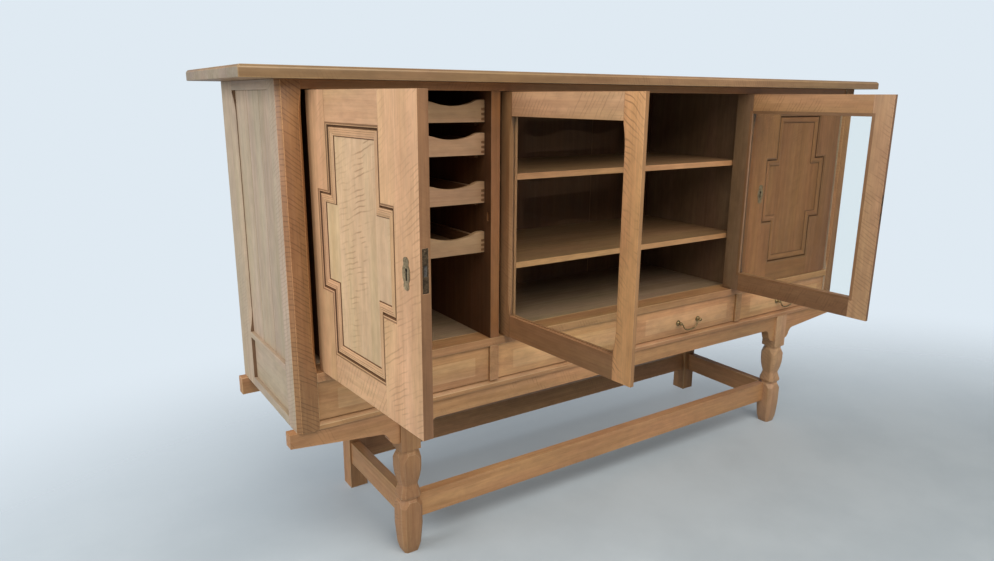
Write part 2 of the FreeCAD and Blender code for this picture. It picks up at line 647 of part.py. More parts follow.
def cross_outline(hand, centre, inset):
    """The stepped cross of the panel doors, narrow and tall with a wide middle."""
    narrow, wide = cross_narrow / 2 - inset, cross_wide / 2 - inset
    tall, arms = cross_tall / 2 - inset, cross_arms / 2 - inset
    x = centre if hand > 0 else -centre
    quarter = [(narrow, -tall), (narrow, -arms), (wide, -arms), (wide, arms), (narrow, arms), (narrow, tall)]
    other = [(-across, -up) for across, up in quarter]
    return [(x + across, leaf_middle + up) for across, up in quarter + other]


def make_panel_door(name, hand, stile_share, angle):
    hung = {"at": (PIVOTS[name], pivot_y), "angle": angle * -hand}
    free = panel_door_width - S.pivot_inset
    stile = panel_door_width * stile_share
    near = stile - S.pivot_inset
    far = near + cross_narrow
    thick = (door_front, door_back)
    through = (leaf_low, leaf_high)
    middle = (door_front + door_back) / 2
    step = (cross_wide - cross_narrow) / 2
    arms = (leaf_middle - cross_arms / 2, leaf_middle + cross_arms / 2)
    tall = (leaf_middle - cross_tall / 2, leaf_middle + cross_tall / 2)
    plate, case, bolt, room = lock_pieces(f"{name}_lock", hand, free, middle, "panel")
    key_x = span(hand, free - S.key_backset, free - S.key_backset)[0]
    key_depth = (S.door_thickness - S.panel_case_width) / 2
    lock_stile = cut(f"{name}_lock_stile",
                     door_slab(f"{name}_lock_stile_blank", hand, far, free, thick, through), *room,
                     *keyhole(f"{name}_stile", key_x, door_front, key_depth),
                     door_slab(f"{name}_far_notch", hand, far, far + step, thick, arms))
    pivot_stile = cut(f"{name}_pivot_stile", hinge_stile(name, hand, stile),
                      door_slab(f"{name}_near_notch", hand, near - step, near, thick, arms))
    top_rail = door_slab(f"{name}_top_rail", hand, near, far, thick, (tall[1], leaf_high))
    low_rail = door_slab(f"{name}_low_rail", hand, near, far, thick, (leaf_low, tall[0]))
    node(f"{name}_frame", pivot_stile, lock_stile, top_rail, low_rail, **hung)

    centre = (near + far) / 2
    face = door_front + S.moulding_sunk
    ring = pad(f"{name}_ring", "XZ", cross_outline(hand, centre, size(0)), face, face + S.moulding_depth)
    window = pad(f"{name}_window", "XZ", cross_outline(hand, centre, S.moulding_width),
                 face, face + S.moulding_depth)
    groove_end = S.groove_inset + S.groove_width
    groove = cut(f"{name}_groove",
                 pad(f"{name}_groove_outside", "XZ", cross_outline(hand, centre, S.groove_inset),
                     face, face + S.groove_depth),
                 pad(f"{name}_groove_inside", "XZ", cross_outline(hand, centre, groove_end),
                     face, face + S.groove_depth))
    node(f"{name}_moulding", cut(f"{name}_moulding_ring", ring, window, groove), **hung)
    face = door_front + S.panel_sunk
    field = pad(f"{name}_field", "XZ", cross_outline(hand, centre, S.moulding_width),
                face, face + S.panel_thickness)
    node(f"{name}_panel", field, **hung)
    node(f"{name}_hardware", *pivots(name), plate, case,
         escutcheon_plate(name, hand, free, door_front), **hung)
    node(f"{name}_bolt", bolt, **hung)


def make_glass_door(name, hand, angle):
    hung = {"at": (PIVOTS[name], pivot_y), "angle": angle * -hand}
    free = divider_in - S.hinge_gap + S.meeting_half_lip - S.pivot_inset
    near = S.glass_stile_width - S.pivot_inset
    far = free - S.glass_stile_width
    sill, head = leaf_low + S.glass_rail_height, leaf_high - S.glass_rail_height
    thick = (door_front, door_back)
    through = (leaf_low, leaf_high)
    seat = door_front + S.glass_front_depth
    middle = (door_front + door_back) / 2
    r = S.glass_rebate_width

    def rebated(piece_name, piece):
        room = door_slab(f"{piece_name}_rebate", hand, near - r, far + r, (seat, door_back),
                         (sill - r, head + r))
        return cut(piece_name, piece, room)

    # the left door laps over the right one: half of each meeting edge is cut back
    lip = 2 * S.meeting_half_lip + S.meeting_gap
    lap = (middle - S.lip_gap, door_back) if hand > 0 else (door_front, middle + S.lip_gap)
    meeting = cut(f"{name}_meeting_stile",
                  door_slab(f"{name}_meeting_blank", hand, far, free, thick, through),
                  door_slab(f"{name}_lap", hand, free - lip, free, lap, through))
    hardware = pivots(name)
    bolt_y = (middle + door_back) / 2
    if hand > 0:
        plate, case, bolt, room = lock_pieces(f"{name}_lock", hand, free - lip, bolt_y, "glass")
        meeting = cut(f"{name}_mortised_stile", meeting, *room)
        hardware += [plate, case]
        node(f"{name}_bolt", bolt, **hung)
    else:
        m = S.strike_margin
        thin, tall = S.glass_bolt_width / 2 + m, S.bolt_height / 2 + m
        strike = door_slab(f"{name}_strike", hand, free - S.bolt_throw - m, free,
                           (bolt_y - thin, bolt_y + thin), (lock_z - tall, lock_z + tall))
        plate = door_slab(f"{name}_strike_blank", hand, free - S.strike_plate_thickness, free,
                          (bolt_y - S.glass_plate_width / 2, bolt_y + S.glass_plate_width / 2),
                          (lock_z - S.plate_height / 2, lock_z + S.plate_height / 2))
        meeting = cut(f"{name}_struck_stile", meeting, strike, plate)
        hardware.append(cut(f"{name}_strike_plate", plate, strike))
    rails = [door_slab(f"{name}_top_rail_blank", hand, near, far, thick, (head, leaf_high)),
             door_slab(f"{name}_low_rail_blank", hand, near, far, thick, (leaf_low, sill))]
    hinge = hinge_stile(name, hand, S.glass_stile_width)
    stiles = []
    for piece_name, stile, edge, toward in ((f"{name}_stile", hinge, near, -hand),
                                            (f"{name}_meeting", meeting, far, hand)):
        x = span(hand, edge, edge)[0]
        chamfer = chamfer_tool(f"{piece_name}_chamfer", x, door_front, toward, 1, sill, head)
        stiles.append(cut(f"{piece_name}_eased", rebated(piece_name, stile), chamfer))
    node(f"{name}_frame", *stiles, rebated(f"{name}_top_rail", rails[0]),
         rebated(f"{name}_low_rail", rails[1]), **hung)

    g = r - S.glass_edge_gap
    pane_back = seat + S.glass_thickness
    node(f"{name}_pane", door_slab(f"{name}_glass", hand, near - g, far + g, (seat, pane_back),
                                   (sill - g, head + g)), **hung)
    deep = (pane_back, door_back)
    node(f"{name}_beads",
         door_slab(f"{name}_bead_near", hand, near - r, near, deep, (sill - r, head + r)),
         door_slab(f"{name}_bead_far", hand, far, far + r, deep, (sill - r, head + r)),
         door_slab(f"{name}_bead_high", hand, near, far, deep, (head, head + r)),
         door_slab(f"{name}_bead_low", hand, near, far, deep, (sill - r, sill)), **hung)
    node(f"{name}_hardware", *hardware, **hung)


def bracket(leg_side, toward, shoulder):
    """The scalloped bracket beside a leg, from the leg outwards: two lobes up to the rail's lower edge."""
    low = S.stand_height - S.stand_rail_height - S.bracket_drop
    lobe, lap = S.bracket_lobe, low + S.bracket_lobe
    turn = lobe * toward
    return [
        (leg_side, low),
        (leg_side + S.bracket_flat * toward, low, turn),
        (leg_side + (S.bracket_flat + lobe) * toward, lap),
        (leg_side + (S.bracket_width - lobe) * toward, lap, -turn),
        (leg_side + S.bracket_width * toward, shoulder),
    ]


def make_stand():
    top = S.stand_height
    end = half + S.stand_end_overhang
    front = (S.stand_rail_setback, S.stand_rail_setback + S.stand_rail_depth)
    low = top - S.stand_rail_height
    leg_x, rear_x = half - S.leg_inset, half - S.rear_leg_inset
    inner, outer = leg_x - S.leg_block_half, leg_x + S.leg_block_half
    left_side = bracket(-inner, 1, low)
    right_side = bracket(inner, -1, low)
    between = left_side + right_side[::-1]
    between = [(-inner, top)] + close_arcs(between, len(left_side)) + [(inner, top)]
    middle = pad("rail_between_legs", "XZ", between, *front)
    tail = [(outer, top)] + bracket(outer, 1, top - S.rail_shoulder_height)
    tail += [(end, top - S.rail_end_height), (end, top)]
    tip = pad("rail_end", "XZ", tail, *front)
    node("front_base_rail", middle, tip, mirrored("rail_end_mirrored", tip))
    back = (S.carcass_depth - S.stand_rail_depth, S.carcass_depth)
    node("rear_base_rail", slab("rear_stand_rail", (-end, end), back, (low, top)))

    legs_y = S.leg_setback
    rear_y = S.carcass_depth - S.rear_leg_width / 2
    cross = slab("cross_rail", (-outer, -inner), (legs_y + S.leg_block_half, back[0]), (low, top))
    node("base_cross_rails", cross, mirrored("cross_rail_mirrored", cross))
    leg = make_leg(-leg_x, legs_y)
    node("front_legs", leg, mirrored("front_leg_mirrored", leg))
    b = S.rear_leg_width / 2
    rear = slab("rear_leg_post", (-rear_x - b, b - rear_x), (rear_y - b, rear_y + b), (0, low))
    node("rear_legs", rear, mirrored("rear_leg_mirrored", rear))

    bar = (S.stretcher_low, S.stretcher_low + S.stretcher_height)
    thin = S.stretcher_thickness / 2
    reach, rear_reach = leg_x - S.leg_foot_half, rear_x - b
    leg_back = legs_y + S.leg_lower_half
    front_y = (leg_back - S.stretcher_thickness, leg_back)
    front_bar = cut("front_stretcher", slab("front_stretcher_bar", (-reach, reach), front_y, bar), leg,
                    mirrored("leg_for_stretcher", leg))
    rear_bar = slab("rear_stretcher", (-rear_reach, rear_reach), (rear_y - thin, rear_y + thin), bar)
    x = -(leg_x + rear_x) / 2
    side_bar = slab("side_stretcher", (x - thin, x + thin), (leg_back, rear_y - b), bar)
    node("stretchers", front_bar, rear_bar, side_bar, mirrored("side_stretcher_mirrored", side_bar))


def close_arcs(corners, count):
    """Run the second bracket backwards: each arc's radius moves to the corner where it now starts."""
    first, second = corners[:count], [c[:2] for c in corners[count:]]
    radii = [c[2] if len(c) == 3 else None for c in corners[count:]]
    for number in range(1, len(second)):
        if radii[number] is not None:
            second[number - 1] = second[number - 1] + (-radii[number],)
    return first + second


def leg_steps(share, drop):
    """Half widths and heights from the foot up to the block. The two shoulders are lowered by the drop."""
    lower, bulb = S.leg_lower_half * share, S.leg_bulb_half * share
    collar, neck = S.leg_collar_half * share, S.leg_neck_half * share
    return [
        (S.leg_foot_half * share, size(0)), (S.leg_ankle_half * share, S.ankle_height),
        (lower, S.calf_height), (lower, S.foot_shoulder_height - drop),
        (S.leg_groove_half, S.leg_groove_low), (S.leg_groove_half, S.leg_groove_high),
        (collar, S.collar_low), (collar, S.collar_high),
        (neck, S.neck_low), (neck, S.neck_high, S.bulb_radius),
        (bulb, S.bulb_low), (bulb, S.bulb_high - drop),
        (S.top_groove_half, S.top_groove_low), (S.top_groove_half, S.top_groove_high),
    ]


def make_leg(x, y):
    """A front leg: one outline sawn from four sides, two of them over the corners below a square block."""
    block = [(S.leg_block_half, S.leg_shoulder_height), (S.leg_block_half, S.stand_height)]
    reach = 2 * S.leg_bulb_half
    sawn = []
    whole, level = size(1), size(0)
    corner, square, arch = S.corner_share, S.square_share, S.lunette_drop
    cuts = (("front", 0, whole, whole, level), ("side", 90, whole, whole, level),
            ("corner", 45, corner, square, arch), ("far_corner", 135, corner, square, arch))
    for name, angle, share, block_share, drop in cuts:
        right = leg_steps(share, drop)
        right += [(width * block_share, height) for width, height in block]
        left = [(-step[0], step[1]) for step in reversed(right)]
        for number, step in enumerate(reversed(right)):
            if len(step) == 3:
                left[number - 1] = left[number - 1] + (step[2],)
        body = pad(f"leg_{name}_saw", "XZ", right + left, -reach, reach)
        bind(body, "Placement.Rotation.Angle", angle)
        sawn.append(body)
    leg = doc.addObject("Part::MultiCommon", "front_leg")
    leg.Shapes = sawn
    bind(leg, "Placement.Base.x", x)
    bind(leg, "Placement.Base.y", y)
    return leg


def check_and_export():
    """Stop on anything that failed, then write one file for each node."""
    doc.recompute()
    failed = [o.Name for o in doc.Objects if "Invalid" in o.State or "Error" in o.State]
    failed += [n.Label for n in NODES if n.Shape.isNull() or not n.Shape.isValid() or not n.Shape.Solids]
    if failed:
        raise RuntimeError("failed: " + ", ".join(failed))
    os.makedirs("parts", exist_ok=True)
    for part in NODES:
        part.Shape.exportStep(f"parts/{part.Label}.step")
    print(len(NODES), "nodes,", sum(len(n.Shape.Solids) for n in NODES), "solids")


make_top()
make_posts()
make_sides()
make_rails()
make_boards()
make_dividers()
make_shelves()
make_trays()
make_drawers()
make_panel_door("left_door", 1, S.left_stile_share, S.left_door_open)
make_glass_door("left_glass", 1, S.left_glass_open)
make_glass_door("right_glass", -1, S.right_glass_open)
make_panel_door("right_door", -1, S.right_stile_share, S.right_door_open)
make_stand()
check_and_export()
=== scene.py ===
# %% [markdown]
# # A tall oak buffet on a stand
#
# This lesson dresses a cabinet whose solids are already made. The frame below gives every solid its
# place and its motion, so nothing here is moved: each step copies a solid, gives it the edges, joints
# and grain of real joinery, and lets it ride on the same body.

# %% Load the cabinet
import json
import math
import random

import bmesh
import bpy
from mathutils import Matrix, Vector

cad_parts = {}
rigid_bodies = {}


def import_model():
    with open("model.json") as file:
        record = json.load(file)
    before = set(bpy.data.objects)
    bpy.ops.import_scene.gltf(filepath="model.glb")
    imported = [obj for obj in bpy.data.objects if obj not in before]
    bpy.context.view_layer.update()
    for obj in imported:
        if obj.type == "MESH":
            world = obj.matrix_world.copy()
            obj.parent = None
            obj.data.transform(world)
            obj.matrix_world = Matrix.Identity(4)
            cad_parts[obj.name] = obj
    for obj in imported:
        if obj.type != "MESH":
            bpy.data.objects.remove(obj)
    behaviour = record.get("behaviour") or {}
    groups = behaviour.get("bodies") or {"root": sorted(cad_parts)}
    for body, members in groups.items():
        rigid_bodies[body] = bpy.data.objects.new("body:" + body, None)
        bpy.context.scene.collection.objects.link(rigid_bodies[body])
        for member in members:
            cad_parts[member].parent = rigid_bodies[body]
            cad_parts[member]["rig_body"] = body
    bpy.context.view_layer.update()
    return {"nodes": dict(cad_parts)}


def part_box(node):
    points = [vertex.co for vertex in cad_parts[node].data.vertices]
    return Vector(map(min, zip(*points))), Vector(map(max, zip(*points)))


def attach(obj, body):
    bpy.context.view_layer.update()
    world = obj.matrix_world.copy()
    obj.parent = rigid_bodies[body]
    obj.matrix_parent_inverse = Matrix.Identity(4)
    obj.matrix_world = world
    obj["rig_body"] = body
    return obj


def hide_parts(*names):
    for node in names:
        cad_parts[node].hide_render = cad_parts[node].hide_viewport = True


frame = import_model()
nodes = frame["nodes"]
MM = 0.001

# %% [markdown]
# ## The camera
#
# The cabinet is seen from the left, a little below its top board, through a fairly wide lens. A camera
# is three things: a place, a direction and a focal length. The direction is made of three turns: round
# the upright axis, down towards the floor, and a slight roll.

# %% Place the camera
LENS = 26.345
CAMERA_PLACE = (-1.37761, -1.40722, 1.07867)
LOOK_RIGHT, LOOK_DOWN, ROLL = 33.41, 14.157, 0.351  # degrees


def turned(angle, axis):
    return Matrix.Rotation(math.radians(angle), 4, axis)


bpy.ops.object.select_all(action="DESELECT")
bpy.ops.object.camera_add()
camera = bpy.context.object
camera.data.lens = LENS
camera.matrix_world = (Matrix.Translation(CAMERA_PLACE) @ turned(-LOOK_RIGHT, "Z")
                       @ turned(90 - LOOK_DOWN, "X") @ turned(ROLL, "Z"))
bpy.context.scene.camera = camera
print("camera at", CAMERA_PLACE)

# %% [markdown]
# ## Finishes are node trees
#
# Every finish below is a small tree of nodes. This helper adds one node, sets its options, and fills
# its inputs: a number or colour is set on the socket, and a socket of another node is linked to it.

# %% A helper for finishes


def new_finish(name):
    finish = bpy.data.materials.new(name)
    finish.use_nodes = True
    shader = finish.node_tree.nodes["Principled BSDF"]
    return finish, shader


def fill(tree, node, inputs):
    for key, value in inputs.items():
        if isinstance(value, bpy.types.NodeSocket):
            tree.links.new(value, node.inputs[key])
        else:
            node.inputs[key].default_value = value


def add(tree, kind, inputs, **options):
    node = tree.nodes.new("ShaderNode" + kind)
    for option, value in options.items():
        setattr(node, option, value)
    fill(tree, node, inputs)
    return node


def noise(tree, place, scale, detail=2.0, roughness=0.5):
    """A cloud of values with its own scale along, across and through the board."""
    spread = add(tree, "VectorMath", {0: place, 1: scale}, operation="MULTIPLY").outputs[0]
    cloud = add(tree, "TexNoise", {"Vector": spread, "Scale": 1.0, "Detail": detail,
                                   "Roughness": roughness})
    return cloud.outputs[0]


def remap(tree, value, low, high, to_low=0.0, to_high=1.0):
    node = add(tree, "MapRange", {"Value": value, "From Min": low, "From Max": high,
                                  "To Min": to_low, "To Max": to_high}, interpolation_type="SMOOTHSTEP")
    return node.outputs[0]


def math_of(tree, operation, first, second):
    return add(tree, "Math", {0: first, 1: second}, operation=operation).outputs[0]


def total(tree, first, *others):
    for other in others:
        first = math_of(tree, "ADD", first, other)
    return first


def product(tree, first, second):
    return math_of(tree, "MULTIPLY", first, second)


def blend_colours(tree, share, first, second, how="MIX"):
    node = add(tree, "Mix", {0: share, 6: first, 7: second}, data_type="RGBA", blend_type=how)
    return node.outputs[2]


print("helpers for finishes ready")

# %% [markdown]
# ## Oak
#
# Oak has three marks that an eye knows it by. Growth rings show as soft bands along the board, pores as
# fine dark dashes, and the rays, which run from the heart outwards, as flecks that cross the grain where
# a board is sawn through the heart. All three belong to one board and end at its edge, so the finish
# doesn't read the scene's axes. Each board carries its own: an attribute named grain holds the distance
# along the board, across it and through it. Two more attributes say how pale the board is and how many
# flecks it shows.
#
# The rings come first. A wave texture draws rings round the board's long axis, squeezed along it, and a
# slow cloud bends them, as a trunk is never quite straight.

# %% Growth rings
RING_STRETCH = (0.10, 1.0, 1.0)
RING_WAVE = {"Scale": 46.0, "Distortion": 1.5, "Detail": 2.0, "Detail Scale": 1.5}
WARP_SCALE, RING_BEND = (1.3, 9.0, 9.0), (0.0, 0.022, 0.022)


def ring_bands(tree, place):
    """Growth rings round a heart that lies outside the board, bent by a slow cloud."""
    slow = add(tree, "VectorMath", {0: place, 1: WARP_SCALE}, operation="MULTIPLY").outputs[0]
    bend = add(tree, "TexNoise", {"Vector": slow, "Scale": 1.0, "Detail": 2.0}).outputs[1]
    shift = add(tree, "VectorMath", {0: bend, 1: RING_BEND}, operation="MULTIPLY").outputs[0]
    spread = add(tree, "VectorMath", {0: place, 1: RING_STRETCH}, operation="MULTIPLY").outputs[0]
    moved = add(tree, "VectorMath", {0: spread, 1: shift}, operation="ADD").outputs[0]
    rings = add(tree, "TexWave", {"Vector": moved, **RING_WAVE}, wave_type="RINGS", rings_direction="X",
                wave_profile="SAW")
    return rings.outputs[1]


print("rings are bent by up to", RING_BEND[1], "m")

# %% [markdown]
# The flecks could be painted one by one, but a wave texture gives a stroke at every gap along the board.
# Leaning its coordinates tilts the strokes, a first cloud breaks them into short ones, and a second, long
# cloud lets them show only in bands, as the saw comes nearer to the heart and leaves it again.

# %% Ray flecks
WAVE_LENGTH = math.pi / 10  # a wave texture of scale 1 repeats after this length
FLECK_WAVE = {"Detail": 1.0, "Detail Scale": 0.9}
BREAK_CLOUD, PATCH_CLOUD = ((48.0, 24.0, 24.0), 1.0), ((1.8, 11.0, 11.0), 1.0)  # scales and detail
STROKE_RANGE, BREAK_RANGE, PATCH_RANGE = (0.74, 0.98), (0.58, 0.72), (0.95, 1.15)
BREAK_FILL = 0.3  # where flecks are many, they are also longer


def ray_flecks(tree, place, amount, slant, gap, wave):
    """Strokes across the grain, one every gap, broken up, and gathered in bands along the board."""
    parts = add(tree, "SeparateXYZ", {0: place}).outputs
    tilted = math_of(tree, "MULTIPLY_ADD", total(tree, parts[1], parts[2]), slant)
    fill(tree, tilted.node, {2: parts[0]})
    leaned = add(tree, "CombineXYZ", {0: tilted, 1: parts[1], 2: parts[2]}).outputs[0]
    strokes = add(tree, "TexWave", {"Vector": leaned, "Scale": WAVE_LENGTH / gap, "Distortion": wave,
                                    **FLECK_WAVE}, bands_direction="X").outputs[1]
    thin = remap(tree, strokes, *STROKE_RANGE)
    longer = product(tree, amount, BREAK_FILL)
    broken = remap(tree, total(tree, noise(tree, leaned, *BREAK_CLOUD), longer), *BREAK_RANGE)
    here = remap(tree, total(tree, noise(tree, place, *PATCH_CLOUD), amount), *PATCH_RANGE)
    return product(tree, product(tree, thin, broken), here)


print("flecks are broken about every", round(1000 / BREAK_CLOUD[0][0]), "mm")

# %% [markdown]
# Now the colours. Rings, streaks and blotches mix a pale wood with a dark one, and pores and flecks bring in
# a third colour, that of the marks. Two clouds, a wide one and a fine one, make the board lighter and darker
# in places, and another turns it a little pink or yellow. The same clouds change the gloss and the height,
# so that what the eye sees and how light falls on it agree.

# %% The oak finish
# a cloud has its scales, its detail and its roughness, and a range says which of its values count
PORE_CLOUD, PORE_RANGE = ((16.0, 700.0, 700.0), 2.0, 0.6), (0.56, 0.76)
STREAK_CLOUD, STREAK_RANGE = ((2.0, 95.0, 95.0), 3.0, 0.6), (0.30, 0.75)
BLOTCH_CLOUD, BLOTCH_RANGE = ((2.6, 20.0, 20.0), 3.0, 0.55), (0.30, 0.72)
STAIN_CLOUD, MOTTLE_CLOUD = ((1.4, 4.0, 4.0), 2.0, 0.5), ((26.0, 62.0, 62.0), 2.0, 0.6)
HUE_CLOUD, HUE_RANGE, LIGHT_RANGE = ((2.2, 15.0, 15.0), 2.0, 0.5), (0.32, 0.68), (0.3, 0.7)
PINKISH, YELLOWISH = (1.025, 0.985, 1.01, 1), (0.985, 1.012, 0.96, 1)
RING_SHADE, STREAK_SHADE, BLOTCH_SHADE, PORE_SHADE = 0.18, 0.36, 0.46, 0.4  # shares of the darker colour
STAIN_SWING, MOTTLE_SWING = 0.09, 0.07
DULL_RANGE, DULL_LESS, DULL_MORE, POLISH = (0.6, 1.4), 0.08, 0.14, 0.4
PORE_RISE, STREAK_RISE, FLECK_RISE, BUMP_STRENGTH, BUMP_HEIGHT = -0.8, 0.5, 0.3, 0.3, 0.0004


def swing(tree, value, reach):
    """A value about 1 that a cloud moves up and down."""
    return remap(tree, value, *LIGHT_RANGE, 1 - reach, 1 + reach)


def oak(name, pale, dark, mark, slant=0.45, gap=0.009, gloss=0.46, strength=0.42, wave=3.4):
    """The colours of pale and dark wood and of the marks, and how the flecks lean, stand apart and show."""
    finish, shader = new_finish(name)
    tree = finish.node_tree
    pale, dark, mark = (*pale, 1), (*dark, 1), (*mark, 1)
    place = add(tree, "Attribute", {}, attribute_name="grain").outputs["Vector"]
    tone = add(tree, "Attribute", {}, attribute_name="tone").outputs["Fac"]
    fleck_amount = add(tree, "Attribute", {}, attribute_name="fleck").outputs["Fac"]
    pores = remap(tree, noise(tree, place, *PORE_CLOUD), *PORE_RANGE)
    streaks = noise(tree, place, *STREAK_CLOUD)
    blotches = noise(tree, place, *BLOTCH_CLOUD)
    stain = noise(tree, place, *STAIN_CLOUD)
    mottle = noise(tree, place, *MOTTLE_CLOUD)
    flecks = ray_flecks(tree, place, fleck_amount, slant, gap, wave)
    shade = total(tree, product(tree, ring_bands(tree, place), RING_SHADE),
                  remap(tree, streaks, *STREAK_RANGE, 0.0, STREAK_SHADE),
                  remap(tree, blotches, *BLOTCH_RANGE, 0.0, BLOTCH_SHADE))
    colour = blend_colours(tree, shade, pale, dark)
    colour = blend_colours(tree, product(tree, pores, PORE_SHADE), colour, mark)
    colour = blend_colours(tree, product(tree, flecks, strength), colour, mark)
    light = product(tree, swing(tree, stain, STAIN_SWING), tone)
    light = product(tree, light, swing(tree, mottle, MOTTLE_SWING))
    grey = add(tree, "CombineColor", {0: light, 1: light, 2: light}).outputs[0]
    colour = blend_colours(tree, 1.0, colour, grey, "MULTIPLY")
    warmth = remap(tree, noise(tree, place, *HUE_CLOUD), *HUE_RANGE)
    colour = blend_colours(tree, 1.0, colour, blend_colours(tree, warmth, PINKISH, YELLOWISH), "MULTIPLY")
    rough = remap(tree, total(tree, streaks, stain), *DULL_RANGE, gloss - DULL_LESS, gloss + DULL_MORE)
    height = total(tree, product(tree, pores, PORE_RISE), product(tree, streaks, STREAK_RISE),
                   product(tree, flecks, FLECK_RISE))
    bump = add(tree, "Bump", {"Strength": BUMP_STRENGTH, "Distance": BUMP_HEIGHT, "Height": height})
    fill(tree, shader, {"Base Color": colour, "Roughness": rough, "Normal": bump.outputs[0],
                        "Specular IOR Level": POLISH})
    return finish


print("one recipe for oak")

# %% [markdown]
# One recipe, several woods. The doors' oak is pinkish and pale. The fronts are darker and more orange than
# the
# sides, which are paler and greyer: painted light, for the sides face the cool window lamp. The inside boards
# are painted shade, very dark, the shelves less dark, and the floors of the compartments, which light from
# above reaches, paler again. The raised fields of the drawers are paler than their bevels, and one stile is
# cut from a curly, figured board. Grooves are darker, partly from old wax and dirt and partly painted shade,
# ends of boards drink more of the stain, and arrises are worn paler, which also paints their highlight.

# %% Mix the oaks
oak_frame = oak("oak_frame", (0.590, 0.315, 0.145), (0.400, 0.190, 0.078), (0.225, 0.095, 0.036))
oak_figure = oak("oak_figure", (0.590, 0.315, 0.145), (0.420, 0.205, 0.085), (0.170, 0.072, 0.028),
                 slant=0.7, gap=0.013, strength=0.58, wave=9.0)
# painted shade: the posts' fronts are darker and more orange than their sides, which take the pale side oak
oak_post = oak("oak_post", (0.395, 0.200, 0.086), (0.268, 0.122, 0.047), (0.130, 0.055, 0.021),
               slant=0.7, gap=0.010, strength=0.5)
oak_door = oak("oak_door", (0.730, 0.440, 0.240), (0.535, 0.292, 0.148), (0.330, 0.170, 0.076),
               slant=-0.55, gap=0.011, gloss=0.42)
oak_field = oak("oak_field", (0.700, 0.485, 0.287), (0.545, 0.352, 0.188), (0.310, 0.165, 0.078),
                slant=-0.3, gap=0.011, gloss=0.42, strength=0.65)
oak_raised = oak("oak_raised", (0.660, 0.385, 0.190), (0.465, 0.245, 0.108), (0.260, 0.120, 0.048))
# painted shade: a deeper oak for the frieze under the top's overhang and for the right door, both in shade
oak_shade = oak("oak_shade", (0.430, 0.200, 0.076), (0.285, 0.122, 0.043), (0.150, 0.060, 0.022),
                slant=-0.4)
# painted light: the pale, greyer oak of faces that look to the side, towards the cool window lamp
oak_panel = oak("oak_panel", (0.560, 0.430, 0.305), (0.440, 0.318, 0.210), (0.330, 0.222, 0.138))
# painted shade: dark oak for the forward-looking faces in the side frames' recesses and for the right divider
oak_wall = oak("oak_wall", (0.230, 0.135, 0.072), (0.150, 0.083, 0.042), (0.080, 0.040, 0.018), gloss=0.6)
oak_lip = oak("oak_lip", (0.270, 0.112, 0.038), (0.190, 0.074, 0.023), (0.110, 0.040, 0.013))
oak_shelf = oak("oak_shelf", (0.265, 0.150, 0.070), (0.172, 0.090, 0.038), (0.100, 0.048, 0.020),
                gloss=0.55)
# painted shade: the darkest oak, for the inside boards where little light reaches
oak_inside = oak("oak_inside", (0.118, 0.048, 0.016), (0.070, 0.026, 0.008), (0.035, 0.015, 0.006),
                 gloss=0.6)
oak_floor = oak("oak_floor", (0.330, 0.228, 0.140), (0.225, 0.142, 0.080), (0.140, 0.080, 0.040),
                gloss=0.55)
oak_back = oak("oak_back", (0.400, 0.262, 0.150), (0.275, 0.165, 0.086), (0.160, 0.085, 0.040), gloss=0.65)
oak_top = oak("oak_top", (0.520, 0.315, 0.160), (0.350, 0.188, 0.082), (0.200, 0.096, 0.038), gloss=0.36)
# worn paler arrises: partly wear, partly a painted highlight along eased edges
oak_arris = oak("oak_arris", (0.700, 0.455, 0.245), (0.520, 0.300, 0.140), (0.330, 0.180, 0.080),
                gloss=0.36)
# also the brown of the moulding's hollows, partly stain and partly painted shade
oak_edge = oak("oak_edge", (0.330, 0.172, 0.080), (0.205, 0.096, 0.040), (0.120, 0.052, 0.020),
               strength=0.08)
# darker oak for grooves: partly old wax and dirt, partly painted shade; the dovetails' end grain takes it too
oak_groove = oak("oak_groove", (0.175, 0.080, 0.031), (0.112, 0.049, 0.018), (0.070, 0.030, 0.012),
                 gloss=0.6, strength=0.0)
print(len([finish for finish in bpy.data.materials if finish.name.startswith("oak_")]), "oaks mixed")

# %% [markdown]
# ## From solids to boards
#
# A node of the frame can hold several boards, such as the stiles and rails of one door, and its mesh is
# loose triangles. They come one closed solid after another, so a board ends where no edge is left
# without its neighbour. Each board is copied as its own object, its corners are merged, and the flat
# faces are put together again, as a joiner sees them.

# %% Take a node apart into boards
DIGITS = 5  # corners that agree to a hundredth of a millimetre are one corner


def corner_key(vertex):
    return tuple(round(c, DIGITS) for c in vertex.co)


def solids_of(node):
    """The corners of a node, and for each of its closed solids the triangles."""
    mesh = nodes[node].data
    corners, number_of = [], {}
    for vertex in mesh.vertices:
        key = corner_key(vertex)
        if key not in number_of:
            number_of[key] = len(corners)
            corners.append(vertex.co.copy())
    solids, current, open_edges = [], [], set()
    for face in mesh.polygons:
        around = [number_of[corner_key(mesh.vertices[v])] for v in face.vertices]
        current.append(around)
        for first, second in zip(around, around[1:] + around[:1]):
            if (second, first) in open_edges:
                open_edges.remove((second, first))
            else:
                open_edges.add((first, second))
        if not open_edges:
            solids.append(current)
            current = []
    return corners, solids


def new_object(name, data):
    made = bpy.data.objects.new(name, data)
    bpy.context.scene.collection.objects.link(made)
    return made


def board_object(name, corners, triangles):
    used = sorted({corner for triangle in triangles for corner in triangle})
    place_of = {corner: place for place, corner in enumerate(used)}
    mesh = bpy.data.meshes.new(name)
    mesh.from_pydata([corners[corner] for corner in used], [],
                     [[place_of[corner] for corner in triangle] for triangle in triangles])
    return new_object(name, mesh)


print("left_door_frame is", len(solids_of("left_door_frame")[1]), "boards")

